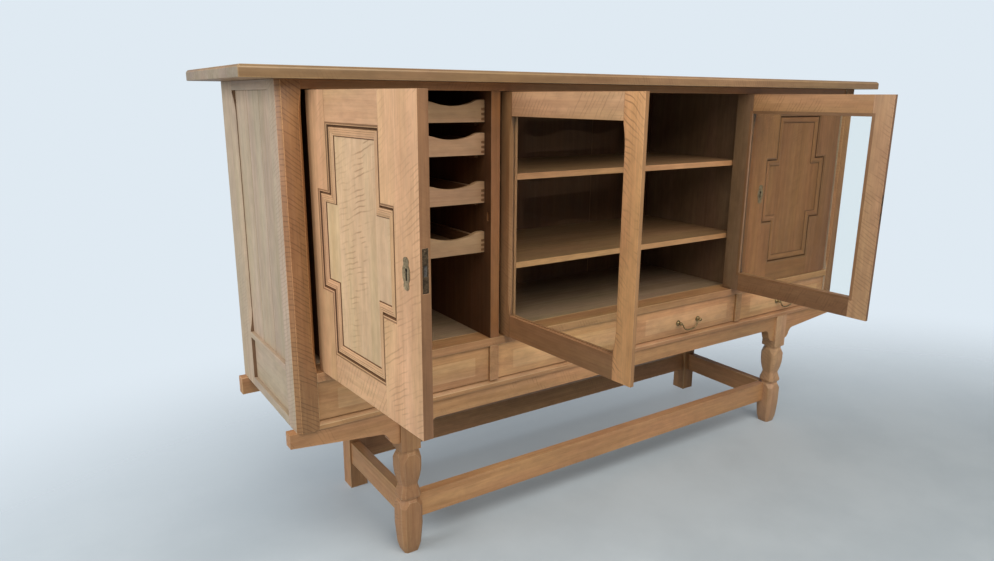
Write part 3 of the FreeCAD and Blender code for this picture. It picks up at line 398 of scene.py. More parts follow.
# %% [markdown]
# ## Edges
#
# No edge of a real board is sharp: it is eased with a plane, and hands wear it paler. All the long edges
# are bevelled by a millimetre or so, and the new strip takes a paler finish, which also paints the highlight
# that an eased edge catches. Where two boards meet, the two eased edges make the fine line of the joint.

# %% Ease the edges of a board
FLAT, SHARP, SMOOTH = math.radians(0.5), math.radians(30), math.radians(20)
SHORT_EDGE, EDGE_STRIPS = 3 * MM, 2


def pick(piece):
    """Selects one object alone and makes it the active one."""
    bpy.ops.object.select_all(action="DESELECT")
    piece.select_set(True)
    bpy.context.view_layer.objects.active = piece


def start_edit(piece, kind, action):
    """Opens one object alone in edit mode, with all of it selected or none."""
    pick(piece)
    bpy.ops.object.mode_set(mode="EDIT")
    bpy.ops.mesh.select_mode(type=kind)
    bpy.ops.mesh.select_all(action=action)


def ease_edges(board, width):
    start_edit(board, "EDGE", "SELECT")
    bpy.ops.mesh.dissolve_limited(angle_limit=FLAT)
    bpy.ops.mesh.select_all(action="DESELECT")
    bpy.ops.mesh.edges_select_sharp(sharpness=SHARP)
    shape = bmesh.from_edit_mesh(board.data)
    for edge in shape.edges:
        if edge.calc_length() < SHORT_EDGE:
            edge.select_set(False)
    bmesh.update_edit_mesh(board.data)
    bpy.ops.mesh.bevel(offset=width, segments=EDGE_STRIPS, affect="EDGES", clamp_overlap=True, material=1)
    bpy.ops.object.mode_set(mode="OBJECT")
    bpy.ops.object.shade_smooth_by_angle(angle=SMOOTH)


print("edges are eased with a bevel of", EDGE_STRIPS, "strips")

# %% [markdown]
# ## Grain
#
# Grain runs along the longest side of a board. Doors stand open in the frame, so their boards are
# measured after the door is turned shut again. Each board starts at its own place in the wood, so no two
# show the same figure.

# %% Lay the grain of a board
GRAIN_SHIFT = (40.0, 0.09, 0.12)
TONE_SPREAD = 0.06
OPEN = {"left_door": -86.0, "left_glass": -86.0, "right_glass": 94.0}  # degrees about the upright axis


def turn_of(node):
    return next((angle for door, angle in OPEN.items() if node.startswith(door)), 0.0)


def store_grain(mesh, domain, rows, tone, fleck):
    """Keeps the grain on the mesh, at its points or its faces' corners, with the board's tone and flecks."""
    mesh.attributes.new("grain", "FLOAT_VECTOR", domain).data.foreach_set("vector", rows)
    for name, value in (("tone", tone), ("fleck", fleck)):
        mesh.attributes.new(name, "FLOAT", "POINT").data.foreach_set("value", [value] * len(mesh.vertices))


def lay_grain(board, turn, along=None, fleck=0.5, tone=1.0):
    mesh = board.data
    draw = random.Random(board.name)
    shut = Matrix.Rotation(-math.radians(turn), 3, "Z")
    places = [shut @ vertex.co for vertex in mesh.vertices]
    low = [min(place[axis] for place in places) for axis in range(3)]
    high = [max(place[axis] for place in places) for axis in range(3)]
    order = sorted(range(3), key=lambda axis: low[axis] - high[axis])
    if along is not None:
        order.remove(along)
        order.insert(0, along)
    shift = [draw.uniform(-reach, reach) for reach in GRAIN_SHIFT]
    middle = [(low[axis] + high[axis]) / 2 for axis in range(3)]
    rows = [place[axis] - middle[axis] + shift[number]
            for place in places for number, axis in enumerate(order)]
    store_grain(mesh, "POINT", rows, tone * draw.uniform(1 - TONE_SPREAD, 1 + TONE_SPREAD), fleck)


print("grain follows each board, turned with its door")

# %% [markdown]
# ## Faces that look one way
#
# A door's edge or a shelf's front isn't coloured like its face, so faces that look to one side can take a
# third finish. They could be picked one by one in edit mode, but their direction finds them on every board.

# %% Give some faces another finish
FACING = 0.9  # a face whose normal has this much of a direction looks that way


def paint_faces(board, turn, looks, both=True, facing=FACING):
    """Gives the third finish to faces that look along a direction of the shut door.

    With both, the faces that look against it take that finish as well.
    """
    opened = Matrix.Rotation(math.radians(turn), 3, "Z") @ Vector(looks)
    for face in board.data.polygons:
        along = face.normal.dot(opened)
        if along > facing or (both and along < -facing):
            face.material_index = 2


print("a face looks along a direction within", round(math.degrees(math.acos(FACING))), "degrees")

# %% [markdown]
# ## A piece for each node
#
# A finished piece takes the place of a node: it rides on the node's body and hides the solid. The same steps
# repeat for every wooden node, so they go into one function: copy the boards, ease their edges, lay their
# grain and join them.

# %% Stand in for a node
PLAIN_EDGE = 0.9 * MM
SIDEWAYS, FORWARDS = (1, 0, 0), (0, 1, 0)


def one_of(value, number):
    """The value for one board, where a list gives each board its own."""
    return value[number] if isinstance(value, tuple) else value


def give_coats(piece, *coats):
    for coat in coats:
        piece.data.materials.append(coat)


def join(pieces, name):
    pick(pieces[0])
    for piece in pieces:
        piece.select_set(True)
    if len(pieces) > 1:
        bpy.ops.object.join()
    whole = bpy.context.object
    whole.name = whole.data.name = name
    return whole


def stand_for(piece, node):
    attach(piece, nodes[node]["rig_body"])
    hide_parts(node)


def dress(node, finish, slot, edge=PLAIN_EDGE, arris=oak_arris, sides=None, fronts=None, rear=None,
          extra=(), fleck=0.5, tone=1.0, facing=FACING):
    """Stands in for a node: its boards with eased edges and grain, joined into one piece."""
    corners, solids = solids_of(node)
    turn = turn_of(node)
    boards = []
    for number, triangles in enumerate(solids):
        board = board_object(f"{node}_oak_{number}", corners, triangles)
        give_coats(board, one_of(finish, number), arris, sides or fronts or rear or arris)
        ease_edges(board, edge)
        if sides:
            paint_faces(board, turn, SIDEWAYS)
        if fronts:
            paint_faces(board, turn, FORWARDS, facing=facing)
        if rear:
            paint_faces(board, turn, FORWARDS, both=False)
        lay_grain(board, turn, fleck=one_of(fleck, number), tone=one_of(tone, number))
        boards.append(board)
    piece = join(boards + list(extra), f"{node}_oak")
    stand_for(piece, node)
    return piece


print("a node is dressed in one call")

# %% [markdown]
# ## The carcass
#
# Posts, rails and side frames are quarter sawn, with many flecks. Panels, shelves and back boards are
# plainer. The stand carries more wear than the rest, so its edges are rounder.

# %% Dress the carcass
HARDLY_ANY, FEW, SOME, MANY = 0.2, 0.35, 0.45, 0.86  # flecks
CRISP_EDGE, INNER_EDGE, LEG_EDGE, STAND_EDGE, TOP_EDGE = 0.6 * MM, 0.7 * MM, 1.2 * MM, 1.3 * MM, 1.8 * MM
INNER = {"edge": INNER_EDGE, "arris": oak_edge, "fleck": FEW}
# each post has a darker front and a paler side: painted light and shade on one oak
for node in ("left_post", "right_post"):
    dress(node, oak_post, "oak_frame", arris=oak_frame, sides=oak_panel, fleck=MANY)
# the frieze takes the shaded oak: painted shadow under the top's overhang
dress("frieze_rail", oak_shade, "oak_frame", arris=oak_shade, fleck=SOME)
for node in ("drawer_rail", "bottom_rail", "drawer_dividers"):
    dress(node, oak_frame, "oak_frame", fleck=SOME, tone=0.86)
# the side frames' faces that look forwards, in their recesses, take the dark wall oak: painted shade
dress("side_frames", oak_panel, "oak_frame", fleck=SOME, arris=oak_panel, fronts=oak_wall)
dress("side_panels", oak_panel, "oak_panel", edge=CRISP_EDGE, arris=oak_edge, fleck=HARDLY_ANY, tone=1.04)
# the inside boards take the darkest oak: painted shade
dress("back_boards", oak_inside, "oak_inside", rear=oak_back, **INNER)
for node in ("sub_top", "bottom_board", "tray_runners"):
    dress(node, oak_inside, "oak_inside", **INNER)
dress("tray_carrier", oak_inside, "oak_inside", fronts=oak_lip, **INNER)
# the left divider takes the darkest inside oak and the right one a lighter dark oak: painted shade, deeper on
# the left
dress("dividers", (oak_inside, oak_wall), "oak_inside", fronts=oak_lip, **INNER)
dress("floor_board", oak_floor, "oak_inside", fleck=FEW, tone=0.9)
dress("shelves", oak_shelf, "oak_inside", arris=oak_frame, fronts=oak_frame, fleck=FEW, tone=0.95)
dress("top_board", oak_top, "oak_top", edge=TOP_EDGE, sides=oak_panel, tone=0.71)
for node in ("front_base_rail", "rear_base_rail", "base_cross_rails", "rear_legs", "stretchers"):
    dress(node, oak_frame, "oak_frame", edge=STAND_EDGE, fleck=SOME, tone=0.95)
# the front legs' low tones paint the shade that falls on them under the carcass
dress("front_legs", (oak_frame, oak_door), "oak_frame", edge=LEG_EDGE, tone=(0.68, 0.8))
print("carcass and stand dressed")

# %% [markdown]
# ## Doors and drawers
#
# A door's edges were never polished like its face, so they are darker. All the right door's oak is deeper:
# painted shade, for that door stands in shade. Each door is four boards from four places in the tree, so each
# has its own share of flecks and its own tone, and one tone paints shade as well: the dark hinge stile of the
# right glass door. A drawer's raised field is told from its bevels by a face's direction alone: only the
# field looks straight ahead.

# %% Dress the doors and drawers
# the right door's deeper oak and lower tone are painted shade
DOOR_OAK = {"left_door": (oak_door, oak_field, 1.0), "right_door": (oak_shade, oak_shade, 0.74)}
# four boards each: hinge stile, meeting stile, top rail, low rail
FRAME_FLECKS, FRAME_TONES = (0.5, 0.58, 0.3, 0.58), (1.0, 1.06, 0.93, 0.9)
# a tone of 0.36 on the right glass door's hinge stile paints the shade it stands in
GLASS_OAK = {"left_glass": ((oak_frame, oak_figure, oak_door, oak_frame), (0.62, 1.28, 0.92, 0.74)),
             "right_glass": ((oak_door, oak_door, oak_frame, oak_frame), (0.36, 0.85, 0.97, 0.52))}
GLASS_FLECKS = (0.45, 0.66, 0.58, 0.45)
DRAWER_TONES, DRAWER_FLECKS = {1: 0.86, 2: 1.2, 3: 1.0, 4: 1.0}, 0.34
FIELD_FACING = 0.995
for door, (wood, _, tone) in DOOR_OAK.items():
    tones = tuple(tone * share for share in FRAME_TONES)
    dress(f"{door}_frame", wood, "oak_frame", arris=wood, sides=oak_edge, fleck=FRAME_FLECKS, tone=tones)
for door, (woods, tones) in GLASS_OAK.items():
    dress(f"{door}_frame", woods, "oak_frame", arris=oak_frame, sides=oak_edge, fleck=GLASS_FLECKS,
          tone=tones)
    dress(f"{door}_beads", oak_edge, "oak_frame", edge=CRISP_EDGE, arris=oak_edge, fleck=HARDLY_ANY)
for number, tone in DRAWER_TONES.items():
    dress(f"drawer_{number}", oak_frame, "oak_frame", fronts=oak_raised, facing=FIELD_FACING,
          fleck=DRAWER_FLECKS, tone=tone)
print("doors and drawers dressed")

# %% [markdown]
# ## Trays
#
# The trays are dovetailed: the tails of the two sides come through the front and show their end grain,
# three at each end. One tail is drawn as a plane, narrowed towards its root and thickened, then copied
# into its places.

# %% Draw one tail and copy it
TAIL_WIDTH, TAIL_HEIGHT, TAIL_PROUD, TAIL_TAPER = 9.4 * MM, 7.0 * MM, 0.12 * MM, 0.72
TAIL_HEIGHTS = (7.0 * MM, 18.0 * MM, 29.0 * MM)


def upright_plane(name, width, height):
    """A plane round the origin that looks to the front."""
    bpy.ops.object.select_all(action="DESELECT")
    bpy.ops.mesh.primitive_plane_add(size=1.0, rotation=(math.radians(90), 0, 0))
    plane = bpy.context.object
    plane.name = plane.data.name = name
    plane.scale = (width, height, 1.0)
    bpy.ops.object.transform_apply(location=True, rotation=True, scale=True)
    return plane


def end_edit():
    """Turns all faces outwards and leaves edit mode."""
    bpy.ops.mesh.select_all(action="SELECT")
    bpy.ops.mesh.normals_make_consistent(inside=False)
    bpy.ops.object.mode_set(mode="OBJECT")


def one_tail():
    tail = upright_plane("tail", TAIL_WIDTH, TAIL_HEIGHT)
    start_edit(tail, "VERT", "DESELECT")
    shape = bmesh.from_edit_mesh(tail.data)
    for vertex in shape.verts:
        vertex.select_set(vertex.co.x > 0)
    bmesh.update_edit_mesh(tail.data)
    bpy.ops.transform.resize(value=(1, 1, TAIL_TAPER), center_override=(0, 0, 0))
    bpy.ops.mesh.select_all(action="SELECT")
    bpy.ops.mesh.extrude_region_move(TRANSFORM_OT_translate={"value": (0, -2 * TAIL_PROUD, 0)})
    end_edit()
    give_coats(tail, oak_groove)
    return tail


def put(pattern, name, place):
    """A copy of a piece with a mesh of its own, moved by a matrix."""
    copy = pattern.copy()
    copy.data = pattern.data.copy()
    copy.name = copy.data.name = name
    bpy.context.scene.collection.objects.link(copy)
    copy.data.transform(place)
    return copy


tail = one_tail()
print("a tail of", len(tail.data.polygons), "faces")

# %% [markdown]
# Each tray's own box gives the places of its tails. Those at the right end are mirrored, which turns a mesh
# inside out, so their faces are flipped back.

# %% Dress the trays
# the trays' low tone paints shade: they stand in shade behind the open left door
TRAYS, TRAY_EDGE, TRAY_FLECKS, TRAY_TONE = (1, 2, 3, 4), 0.8 * MM, 0.3, 0.56
for number in TRAYS:
    low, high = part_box(f"tray_{number}")
    tails = []
    for end, x, way in (("left", low[0] + TAIL_WIDTH / 2, 1), ("right", high[0] - TAIL_WIDTH / 2, -1)):
        for row, rise in enumerate(TAIL_HEIGHTS):
            place = Matrix.Translation((x, low[1] + TAIL_PROUD, low[2] + rise))
            copy = put(tail, f"tray_{number}_{end}_tail_{row}", place @ Matrix.Diagonal((way, 1, 1, 1)))
            if way < 0:
                copy.data.flip_normals()
            lay_grain(copy, 0.0, along=1, fleck=0.0)
            tails.append(copy)
    dress(f"tray_{number}", oak_door, "oak_frame", edge=TRAY_EDGE, sides=oak_edge, extra=tails,
          fleck=TRAY_FLECKS, tone=TRAY_TONE)
bpy.data.objects.remove(tail)
print("four dovetailed trays")

# %% [markdown]
# ## Moulded panels
#
# Each wooden door has a stepped, cross-shaped panel in a mitred moulding. The moulding's profile is a list,
# just as a joiner draws it: each step goes inwards by a width and up or down by a height. From the outside
# in, it is a brown lip, a pale fillet, a deep dark groove, a broad bead with two fine lines, a slope with one
# more, and a dark step down to the flat panel. Each step also says which finish its strip takes: the wood,
# the dark of a groove, partly dirt and partly painted shade, or the brown of a hollow, partly stain and
# partly painted shade.

# %% Sizes of the doors
PANEL_DOORS = ("left_door", "right_door")
PIVOT_X = {"left_door": -880.0 * MM, "right_door": 880.0 * MM}
PIVOT_Y, DOOR_FACE, LEAF_MIDDLE = 11.0 * MM, -8.0 * MM, 801.5 * MM
CROSS_NARROW, CROSS_WIDE, CROSS_TALL, CROSS_ARMS = 208.0 * MM, 300.0 * MM, 461.0 * MM, 204.0 * MM
CROSS_EDGE = {"left_door": 77.0 * MM, "right_door": 96.0 * MM}  # from the pivot to the cross's narrow part
QUIRK = 0.3 * MM  # the moulding starts this far below the door's face
# the dark and hollow strips are partly dirt and stain, partly painted shade in the moulding's low steps
WOOD, DARK, HOLLOW = 0, 1, 2
MOULDING_STEPS = (
    (3.0, -0.5, HOLLOW), (1.4, -0.6, WOOD), (2.8, -5.4, DARK), (1.2, -0.3, DARK), (0.8, 4.2, HOLLOW),
    (0.8, 0.5, WOOD), (2.6, 0.1, WOOD), (0.6, -0.4, HOLLOW), (0.5, 0.4, WOOD), (2.4, 0.0, WOOD),
    (0.6, -0.4, HOLLOW), (0.5, 0.3, WOOD), (2.0, -0.3, WOOD), (1.8, -0.9, WOOD), (0.5, -0.3, HOLLOW),
    (0.4, 0.1, WOOD), (2.2, -0.9, WOOD), (1.2, -1.6, DARK), (0.8, 0.0, DARK),
)
MOULDING_DEPTH, PANEL_DEPTH = 9.0 * MM, 9.0 * MM


def hand_of(door):
    return 1 if door.startswith("left") else -1


print("a moulding", round(sum(step[0] for step in MOULDING_STEPS), 1), "mm wide round a cross of",
      round(CROSS_WIDE, 3), "by", round(CROSS_TALL, 3), "m")

# %% [markdown]
# The moulding could be cut from strips, with a mitre at each of the twelve corners, but insetting does all
# the mitres at once. A plane of the cross's full width and height is cut along four lines, its corners are
# deleted, and the rest becomes one face. Each inset then makes one strip of the profile.

# %% Cut the stepped cross out of a plane


def pick_faces(piece, test):
    """In edit mode, selects the faces whose middle passes a test."""
    shape = bmesh.from_edit_mesh(piece.data)
    shape.faces.ensure_lookup_table()
    for face in shape.faces:
        face.select_set(bool(test(face)))
    shape.select_flush_mode()
    bmesh.update_edit_mesh(piece.data)


def stepped_cross(name):
    """One face of twelve corners in the upright plane, facing the front."""
    piece = upright_plane(name, CROSS_WIDE, CROSS_TALL)
    start_edit(piece, "FACE", "SELECT")
    for line, normal in (((CROSS_NARROW / 2, 0, 0), (1, 0, 0)), ((-CROSS_NARROW / 2, 0, 0), (1, 0, 0)),
                         ((0, 0, CROSS_ARMS / 2), (0, 0, 1)), ((0, 0, -CROSS_ARMS / 2), (0, 0, 1))):
        bpy.ops.mesh.select_all(action="SELECT")
        bpy.ops.mesh.bisect(plane_co=line, plane_no=normal)
    pick_faces(piece, lambda face: abs(face.calc_center_median().x) > CROSS_NARROW / 2
               and abs(face.calc_center_median().z) > CROSS_ARMS / 2)
    bpy.ops.mesh.delete(type="FACE")
    bpy.ops.mesh.select_all(action="SELECT")
    bpy.ops.mesh.dissolve_limited(angle_limit=FLAT)
    bpy.ops.mesh.select_all(action="SELECT")
    return piece


def step_inwards(piece, steps):
    for width, rise, coat in steps:
        piece.active_material_index = coat
        bpy.ops.object.material_slot_assign()
        bpy.ops.mesh.inset(thickness=width * MM, depth=rise * MM, use_even_offset=True)
    piece.active_material_index = WOOD
    bpy.ops.object.material_slot_assign()


trial = stepped_cross("trial_cross")
bpy.ops.object.mode_set(mode="OBJECT")
print("the cross has", len(trial.data.vertices), "corners and", len(trial.data.polygons), "face")
bpy.data.objects.remove(trial)

# %% [markdown]
# The face that the last inset leaves in the middle is parted from the rest: that is the panel. Both pieces
# are then open shells, and a real piece has a back, so their open edges are extruded backwards and filled.
# They are made round the origin, where they are easy to measure, and hung on their door afterwards.

# %% Give a parted face its sides and back


def close_back(piece, depth):
    """Extrudes the open edges of a piece straight back, and fills the back."""
    start_edit(piece, "EDGE", "DESELECT")
    bpy.ops.mesh.select_non_manifold(use_wire=False, use_boundary=True, use_multi_face=False,
                                     use_non_contiguous=False, use_verts=False)
    bpy.ops.mesh.extrude_edges_move(TRANSFORM_OT_translate={"value": (0, depth, 0)})
    shape = bmesh.from_edit_mesh(piece.data)
    back = max(vertex.co.y for vertex in shape.verts if vertex.select)
    for vertex in shape.verts:
        if vertex.select:
            vertex.co.y = back
    bmesh.update_edit_mesh(piece.data)
    bpy.ops.mesh.fill()
    end_edit()


def on_door(door, across, depth, height):
    """A place on a door that is measured from its pivot as if it were shut, and then opened with it."""
    opened = Matrix.Translation((PIVOT_X[door], PIVOT_Y, 0)) @ turned(turn_of(door), "Z")
    return opened @ Matrix.Translation((across * hand_of(door), depth, height))


def hang(piece, door, across, height):
    """Moves a piece that was made round the origin onto the face of its door."""
    piece.matrix_world = on_door(door, across, DOOR_FACE, height)
    pick(piece)
    bpy.ops.object.transform_apply(location=True, rotation=True, scale=True)


print("helpers for the panels ready")

# %% [markdown]
# Grain runs along each strip of a moulding and turns at the mitre, so one direction for the whole piece would
# look stamped. The longest upright or level side of a face tells which way its strip runs. The grain is kept
# at the faces' corners, because two strips share the points of a mitre.

# %% Grain that follows a mitred moulding
SKEW = 0.1  # a side that leans by no more than this share of its length counts as upright or level
MOULDING_FLECK = 0.2


def lay_moulding_grain(piece, turn, tone):
    """Each strip of the moulding has its grain along itself, and the strips meet at the mitres."""
    mesh = piece.data
    shut = Matrix.Rotation(-math.radians(turn), 3, "Z")
    places = [shut @ vertex.co for vertex in mesh.vertices]
    rows = []
    for face in mesh.polygons:
        corners = [places[v] for v in face.vertices]
        sides = [second - first for first, second in zip(corners, corners[1:] + corners[:1])]
        upright = max((abs(side.z) for side in sides if abs(side.x) < SKEW * abs(side.z)), default=0.0)
        level = max((abs(side.x) for side in sides if abs(side.z) < SKEW * abs(side.x)), default=0.0)
        order = (2, 0, 1) if upright >= level else (0, 2, 1)
        rows += [corner[axis] for corner in corners for axis in order]
    store_grain(mesh, "CORNER", rows, tone, MOULDING_FLECK)


print("moulding grain turns the corners")

# %% [markdown]
# With these helpers, one call makes a door's moulding and panel: the insets, the parting, the two backs, the
# hanging and the grain.

# %% Make the moulding and the panel of each door


def moulded_panel(door):
    moulding = stepped_cross(f"{door}_moulding_strips")
    wood, field, tone = DOOR_OAK[door]
    give_coats(moulding, wood, oak_groove, oak_edge)
    bpy.ops.transform.translate(value=(0, QUIRK, 0))
    step_inwards(moulding, MOULDING_STEPS)
    bpy.ops.mesh.separate(type="SELECTED")
    bpy.ops.object.mode_set(mode="OBJECT")
    panel = next(piece for piece in bpy.context.selected_objects if piece is not moulding)
    panel.name = panel.data.name = f"{door}_flat_panel"
    panel.data.materials.clear()
    give_coats(panel, field)
    close_back(moulding, MOULDING_DEPTH)
    close_back(panel, PANEL_DEPTH)
    for piece in (moulding, panel):
        hang(piece, door, CROSS_EDGE[door] + CROSS_NARROW / 2, LEAF_MIDDLE)
        bpy.ops.object.shade_smooth_by_angle(angle=SMOOTH)
    lay_moulding_grain(moulding, turn_of(door), tone)
    lay_grain(panel, turn_of(door), along=2, tone=tone)
    stand_for(moulding, f"{door}_moulding")
    stand_for(panel, f"{door}_panel")
    return moulding, panel


for door in PANEL_DOORS:
    moulding, panel = moulded_panel(door)
    print(door, len(moulding.data.polygons), "moulding faces,", len(panel.data.polygons), "panel faces")

# %% [markdown]
# ## Brass, bronze, steel and glass
#
# The pulls and the key plates are brass that has gone olive brown, with brighter patches where a cloud mixes
# them in. The lock plates are darker, and the bolts are bare steel. All metals here share one recipe: two
# colours mixed by a fine cloud, with dark spots, and a roughness that follows the same cloud. Mixed nearly
# black, it also paints the shadow inside a keyhole.

# %% Metal finishes
METAL_CLOUD, CLOUD_RANGE, ROUGH_RANGE = ((160.0, 160.0, 160.0), 4.0, 0.6), (0.35, 0.7), (0.3, 0.7)
SPOT_DETAIL, SPOT_RANGE, SPOT_SHADE, ROUGH_SPREAD = 3.0, (0.55, 0.72), 0.6, 0.2
METAL_BUMP, METAL_RELIEF, METAL_SHARE = 0.2, 0.0002, 0.9


def metal(name, bright, dull, rough, speckle):
    finish, shader = new_finish(name)
    tree = finish.node_tree
    bright, dull = (*bright, 1), (*dull, 1)
    place = add(tree, "TexCoord", {}).outputs["Object"]
    cloud = noise(tree, place, *METAL_CLOUD)
    spots = remap(tree, noise(tree, place, (speckle,) * 3, SPOT_DETAIL), *SPOT_RANGE)
    colour = blend_colours(tree, remap(tree, cloud, *CLOUD_RANGE), bright, dull)
    colour = blend_colours(tree, product(tree, spots, SPOT_SHADE), colour, dull)
    bump = add(tree, "Bump", {"Strength": METAL_BUMP, "Distance": METAL_RELIEF, "Height": cloud})
    fill(tree, shader, {"Base Color": colour, "Metallic": METAL_SHARE, "Normal": bump.outputs[0],
                        "Roughness": remap(tree, cloud, *ROUGH_RANGE, rough, rough + ROUGH_SPREAD)})
    return finish


brass = metal("aged_brass", (0.36, 0.26, 0.12), (0.11, 0.075, 0.035), 0.34, 420.0)
key_brass = metal("key_brass", (0.36, 0.275, 0.165), (0.19, 0.138, 0.078), 0.55, 380.0)
bronze = metal("dark_bronze", (0.16, 0.105, 0.06), (0.06, 0.04, 0.025), 0.40, 300.0)
steel = metal("bolt_steel", (0.17, 0.15, 0.13), (0.09, 0.08, 0.07), 0.72, 300.0)
# painted shadow: the nearly black floor of a keyhole, where the inside of the lock lies in shade
lock_dark = metal("lock_dark", (0.020, 0.015, 0.010), (0.008, 0.006, 0.004), 0.7, 300.0)
print("four metals, and the dark inside a lock")

# %% [markdown]
# ## Turned pieces
#
# The posts of the pulls and the heads of the screws are turned on a lathe. Here a disc is extruded outwards
# step by step and scaled each time, so a list of radii and distances is the profile that a turner follows:
# a rosette against the drawer, a thin stem, and a ball that holds the bail.

# %% Turn a post and a screw
TURN_SIDES, TURN_SMOOTH = 20, math.radians(40)
POST_STEPS = ((8.0, 0.0), (8.6, 0.7), (8.2, 1.6), (5.6, 2.2), (5.0, 3.2), (3.5, 4.4), (3.1, 6.2),
              (4.1, 7.2), (4.9, 8.8), (5.2, 11.0), (4.9, 13.0), (4.0, 14.6), (2.4, 15.5), (0.8, 15.9))
SCREW_STEPS = ((3.0, 0.0), (3.0, 0.2), (2.6, 0.5), (1.4, 0.7))


def turned_piece(name, steps, finish):
    """A turned piece along -Y, from the origin outwards. Radii and distances in mm."""
    bpy.ops.object.select_all(action="DESELECT")
    radius, reach = steps[0]
    bpy.ops.mesh.primitive_circle_add(vertices=TURN_SIDES, radius=radius * MM, fill_type="NGON",
                                      rotation=(math.radians(90), 0, 0))
    piece = bpy.context.object
    piece.name = name
    bpy.ops.object.transform_apply(location=True, rotation=True, scale=True)
    start_edit(piece, "FACE", "SELECT")
    for next_radius, next_reach in steps[1:]:
        step, share = (reach - next_reach) * MM, next_radius / radius
        bpy.ops.mesh.extrude_region_move(TRANSFORM_OT_translate={"value": (0, step, 0)})
        bpy.ops.transform.resize(value=(share, 1, share), center_override=(0, -next_reach * MM, 0))
        radius, reach = next_radius, next_reach
    end_edit()
    bpy.ops.object.shade_smooth_by_angle(angle=TURN_SMOOTH)
    give_coats(piece, finish)
    return piece


post = turned_piece("pull_post", POST_STEPS, brass)
screw = turned_piece("screw_head", SCREW_STEPS, bronze)
print("post of", len(post.data.polygons), "faces, screw of", len(screw.data.polygons))

# %% [markdown]
# Two posts carry each bail. Their solids are plain rods, so the node's box gives the places: a rod's radius
# in from each end, at half the height, with the rosette against the drawer's front. The shelf pins are
# plain turned pins on the real cabinet too, so those solids stay and only take the brass.

# %% Set the posts of the pulls
ROD_RADIUS = 5.0 * MM
for number in DRAWER_TONES:
    low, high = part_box(f"drawer_{number}_posts")
    height = (low[2] + high[2]) / 2
    pair = [put(post, f"drawer_{number}_{side}_post", Matrix.Translation((x, high[1], height)))
            for side, x in (("left", low[0] + ROD_RADIUS), ("right", high[0] - ROD_RADIUS))]
    stand_for(join(pair, f"drawer_{number}_turned_posts"), f"drawer_{number}_posts")
nodes["shelf_pins"].data.materials[0] = brass
bpy.data.objects.remove(post)
print("eight posts set")

# %% [markdown]
# ## Bails
#
# A bail is a rod bent like two swans' necks: level where it turns in its posts, then down and round in one
# sweep, and thicker in the middle, where the hand takes it. It is drawn as a curve through a few points,
# with a radius at each, and turned into a mesh. Half of the points are listed; the other half mirrors them.

# %% Bend the bails
BAIL_HALF = ((47.0, 0.0, 0.75), (40.0, 0.0, 0.8), (34.5, -1.2, 0.8), (30.5, -5.5, 0.85), (27.0, -12.5, 0.9),
             (21.0, -19.0, 1.0), (11.0, -22.3, 1.1))
BAIL_MIDDLE, BAIL_RADIUS, BAIL_TOP = (0.0, -23.2, 1.15), 2.1 * MM, 2.2 * MM
BAIL_ROUND, BAIL_ORDER, BAIL_FINE = 3, 3, 6  # strips round the rod, the curve's order, steps per point


def bent_bail(name):
    points = list(BAIL_HALF) + [BAIL_MIDDLE] + [(-x, z, share) for x, z, share in reversed(BAIL_HALF)]
    curve = bpy.data.curves.new(name, "CURVE")
    curve.dimensions = "3D"
    curve.bevel_depth, curve.bevel_resolution, curve.use_fill_caps = BAIL_RADIUS, BAIL_ROUND, True
    rod = curve.splines.new("NURBS")
    rod.points.add(len(points) - 1)
    rod.use_endpoint_u, rod.order_u, rod.resolution_u = True, BAIL_ORDER, BAIL_FINE
    for point, (x, z, share) in zip(rod.points, points):
        point.co = (x * MM, 0.0, z * MM, 1.0)
        point.radius = share
    pick(new_object(name, curve))
    bpy.ops.object.convert(target="MESH")
    bail = bpy.context.object
    bpy.ops.object.shade_smooth()
    give_coats(bail, brass)
    return bail


pattern = bent_bail("bail_pattern")
for number in DRAWER_TONES:
    low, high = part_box(f"drawer_{number}_bail")
    place = Matrix.Translation(((low[0] + high[0]) / 2, (low[1] + high[1]) / 2, high[2] - BAIL_TOP))
    stand_for(put(pattern, f"drawer_{number}_bent_bail", place), f"drawer_{number}_bail")
print("four bails of", len(pattern.data.polygons), "faces")
bpy.data.objects.remove(pattern)

# %% [markdown]
# ## Key plates
#
# Each wooden door has a small plate round its keyhole: a wide body between two lobes, sawn from sheet brass
# and filed round at the edge. Half of the outline is a list of heights and half widths, and the other half
# mirrors it. The sheet is extruded, its edge is drawn in twice for the filed rim, and the keyhole is cut with
# a boolean, as a drill and a file cut it. The cut stops just short of the door, and the thin floor that is
# left takes a nearly black finish: painted shadow, which stands for the dark inside the lock.

# %% Draw the outline and the keyhole
PLATE_HALF = ((28.5, 0.0), (28.0, 3.6), (26.2, 7.0), (23.2, 8.7), (19.8, 8.7), (17.0, 7.9), (14.8, 7.9),
              (11.8, 9.6), (7.6, 11.4), (2.6, 12.0))
PLATE_SHEET, PLATE_RIM = 0.9 * MM, ((0.35, 0.35), (0.5, 0.2))
KEY_RADIUS, KEY_SLOT, KEY_RISE, KEY_FALL, KEY_DEPTH = 3.4 * MM, 4.2 * MM, 6.0 * MM, 12.0 * MM, 8.0 * MM
KEY_FLOOR = 0.15 * MM  # the hole's dark floor stands this far off the door


def plate_outline():
    right = list(PLATE_HALF) + [(-height, width) for height, width in reversed(PLATE_HALF)]
    left = [(height, -width) for height, width in reversed(right) if width > 0]
    return [(width * MM, 0.0, height * MM) for height, width in right + left]


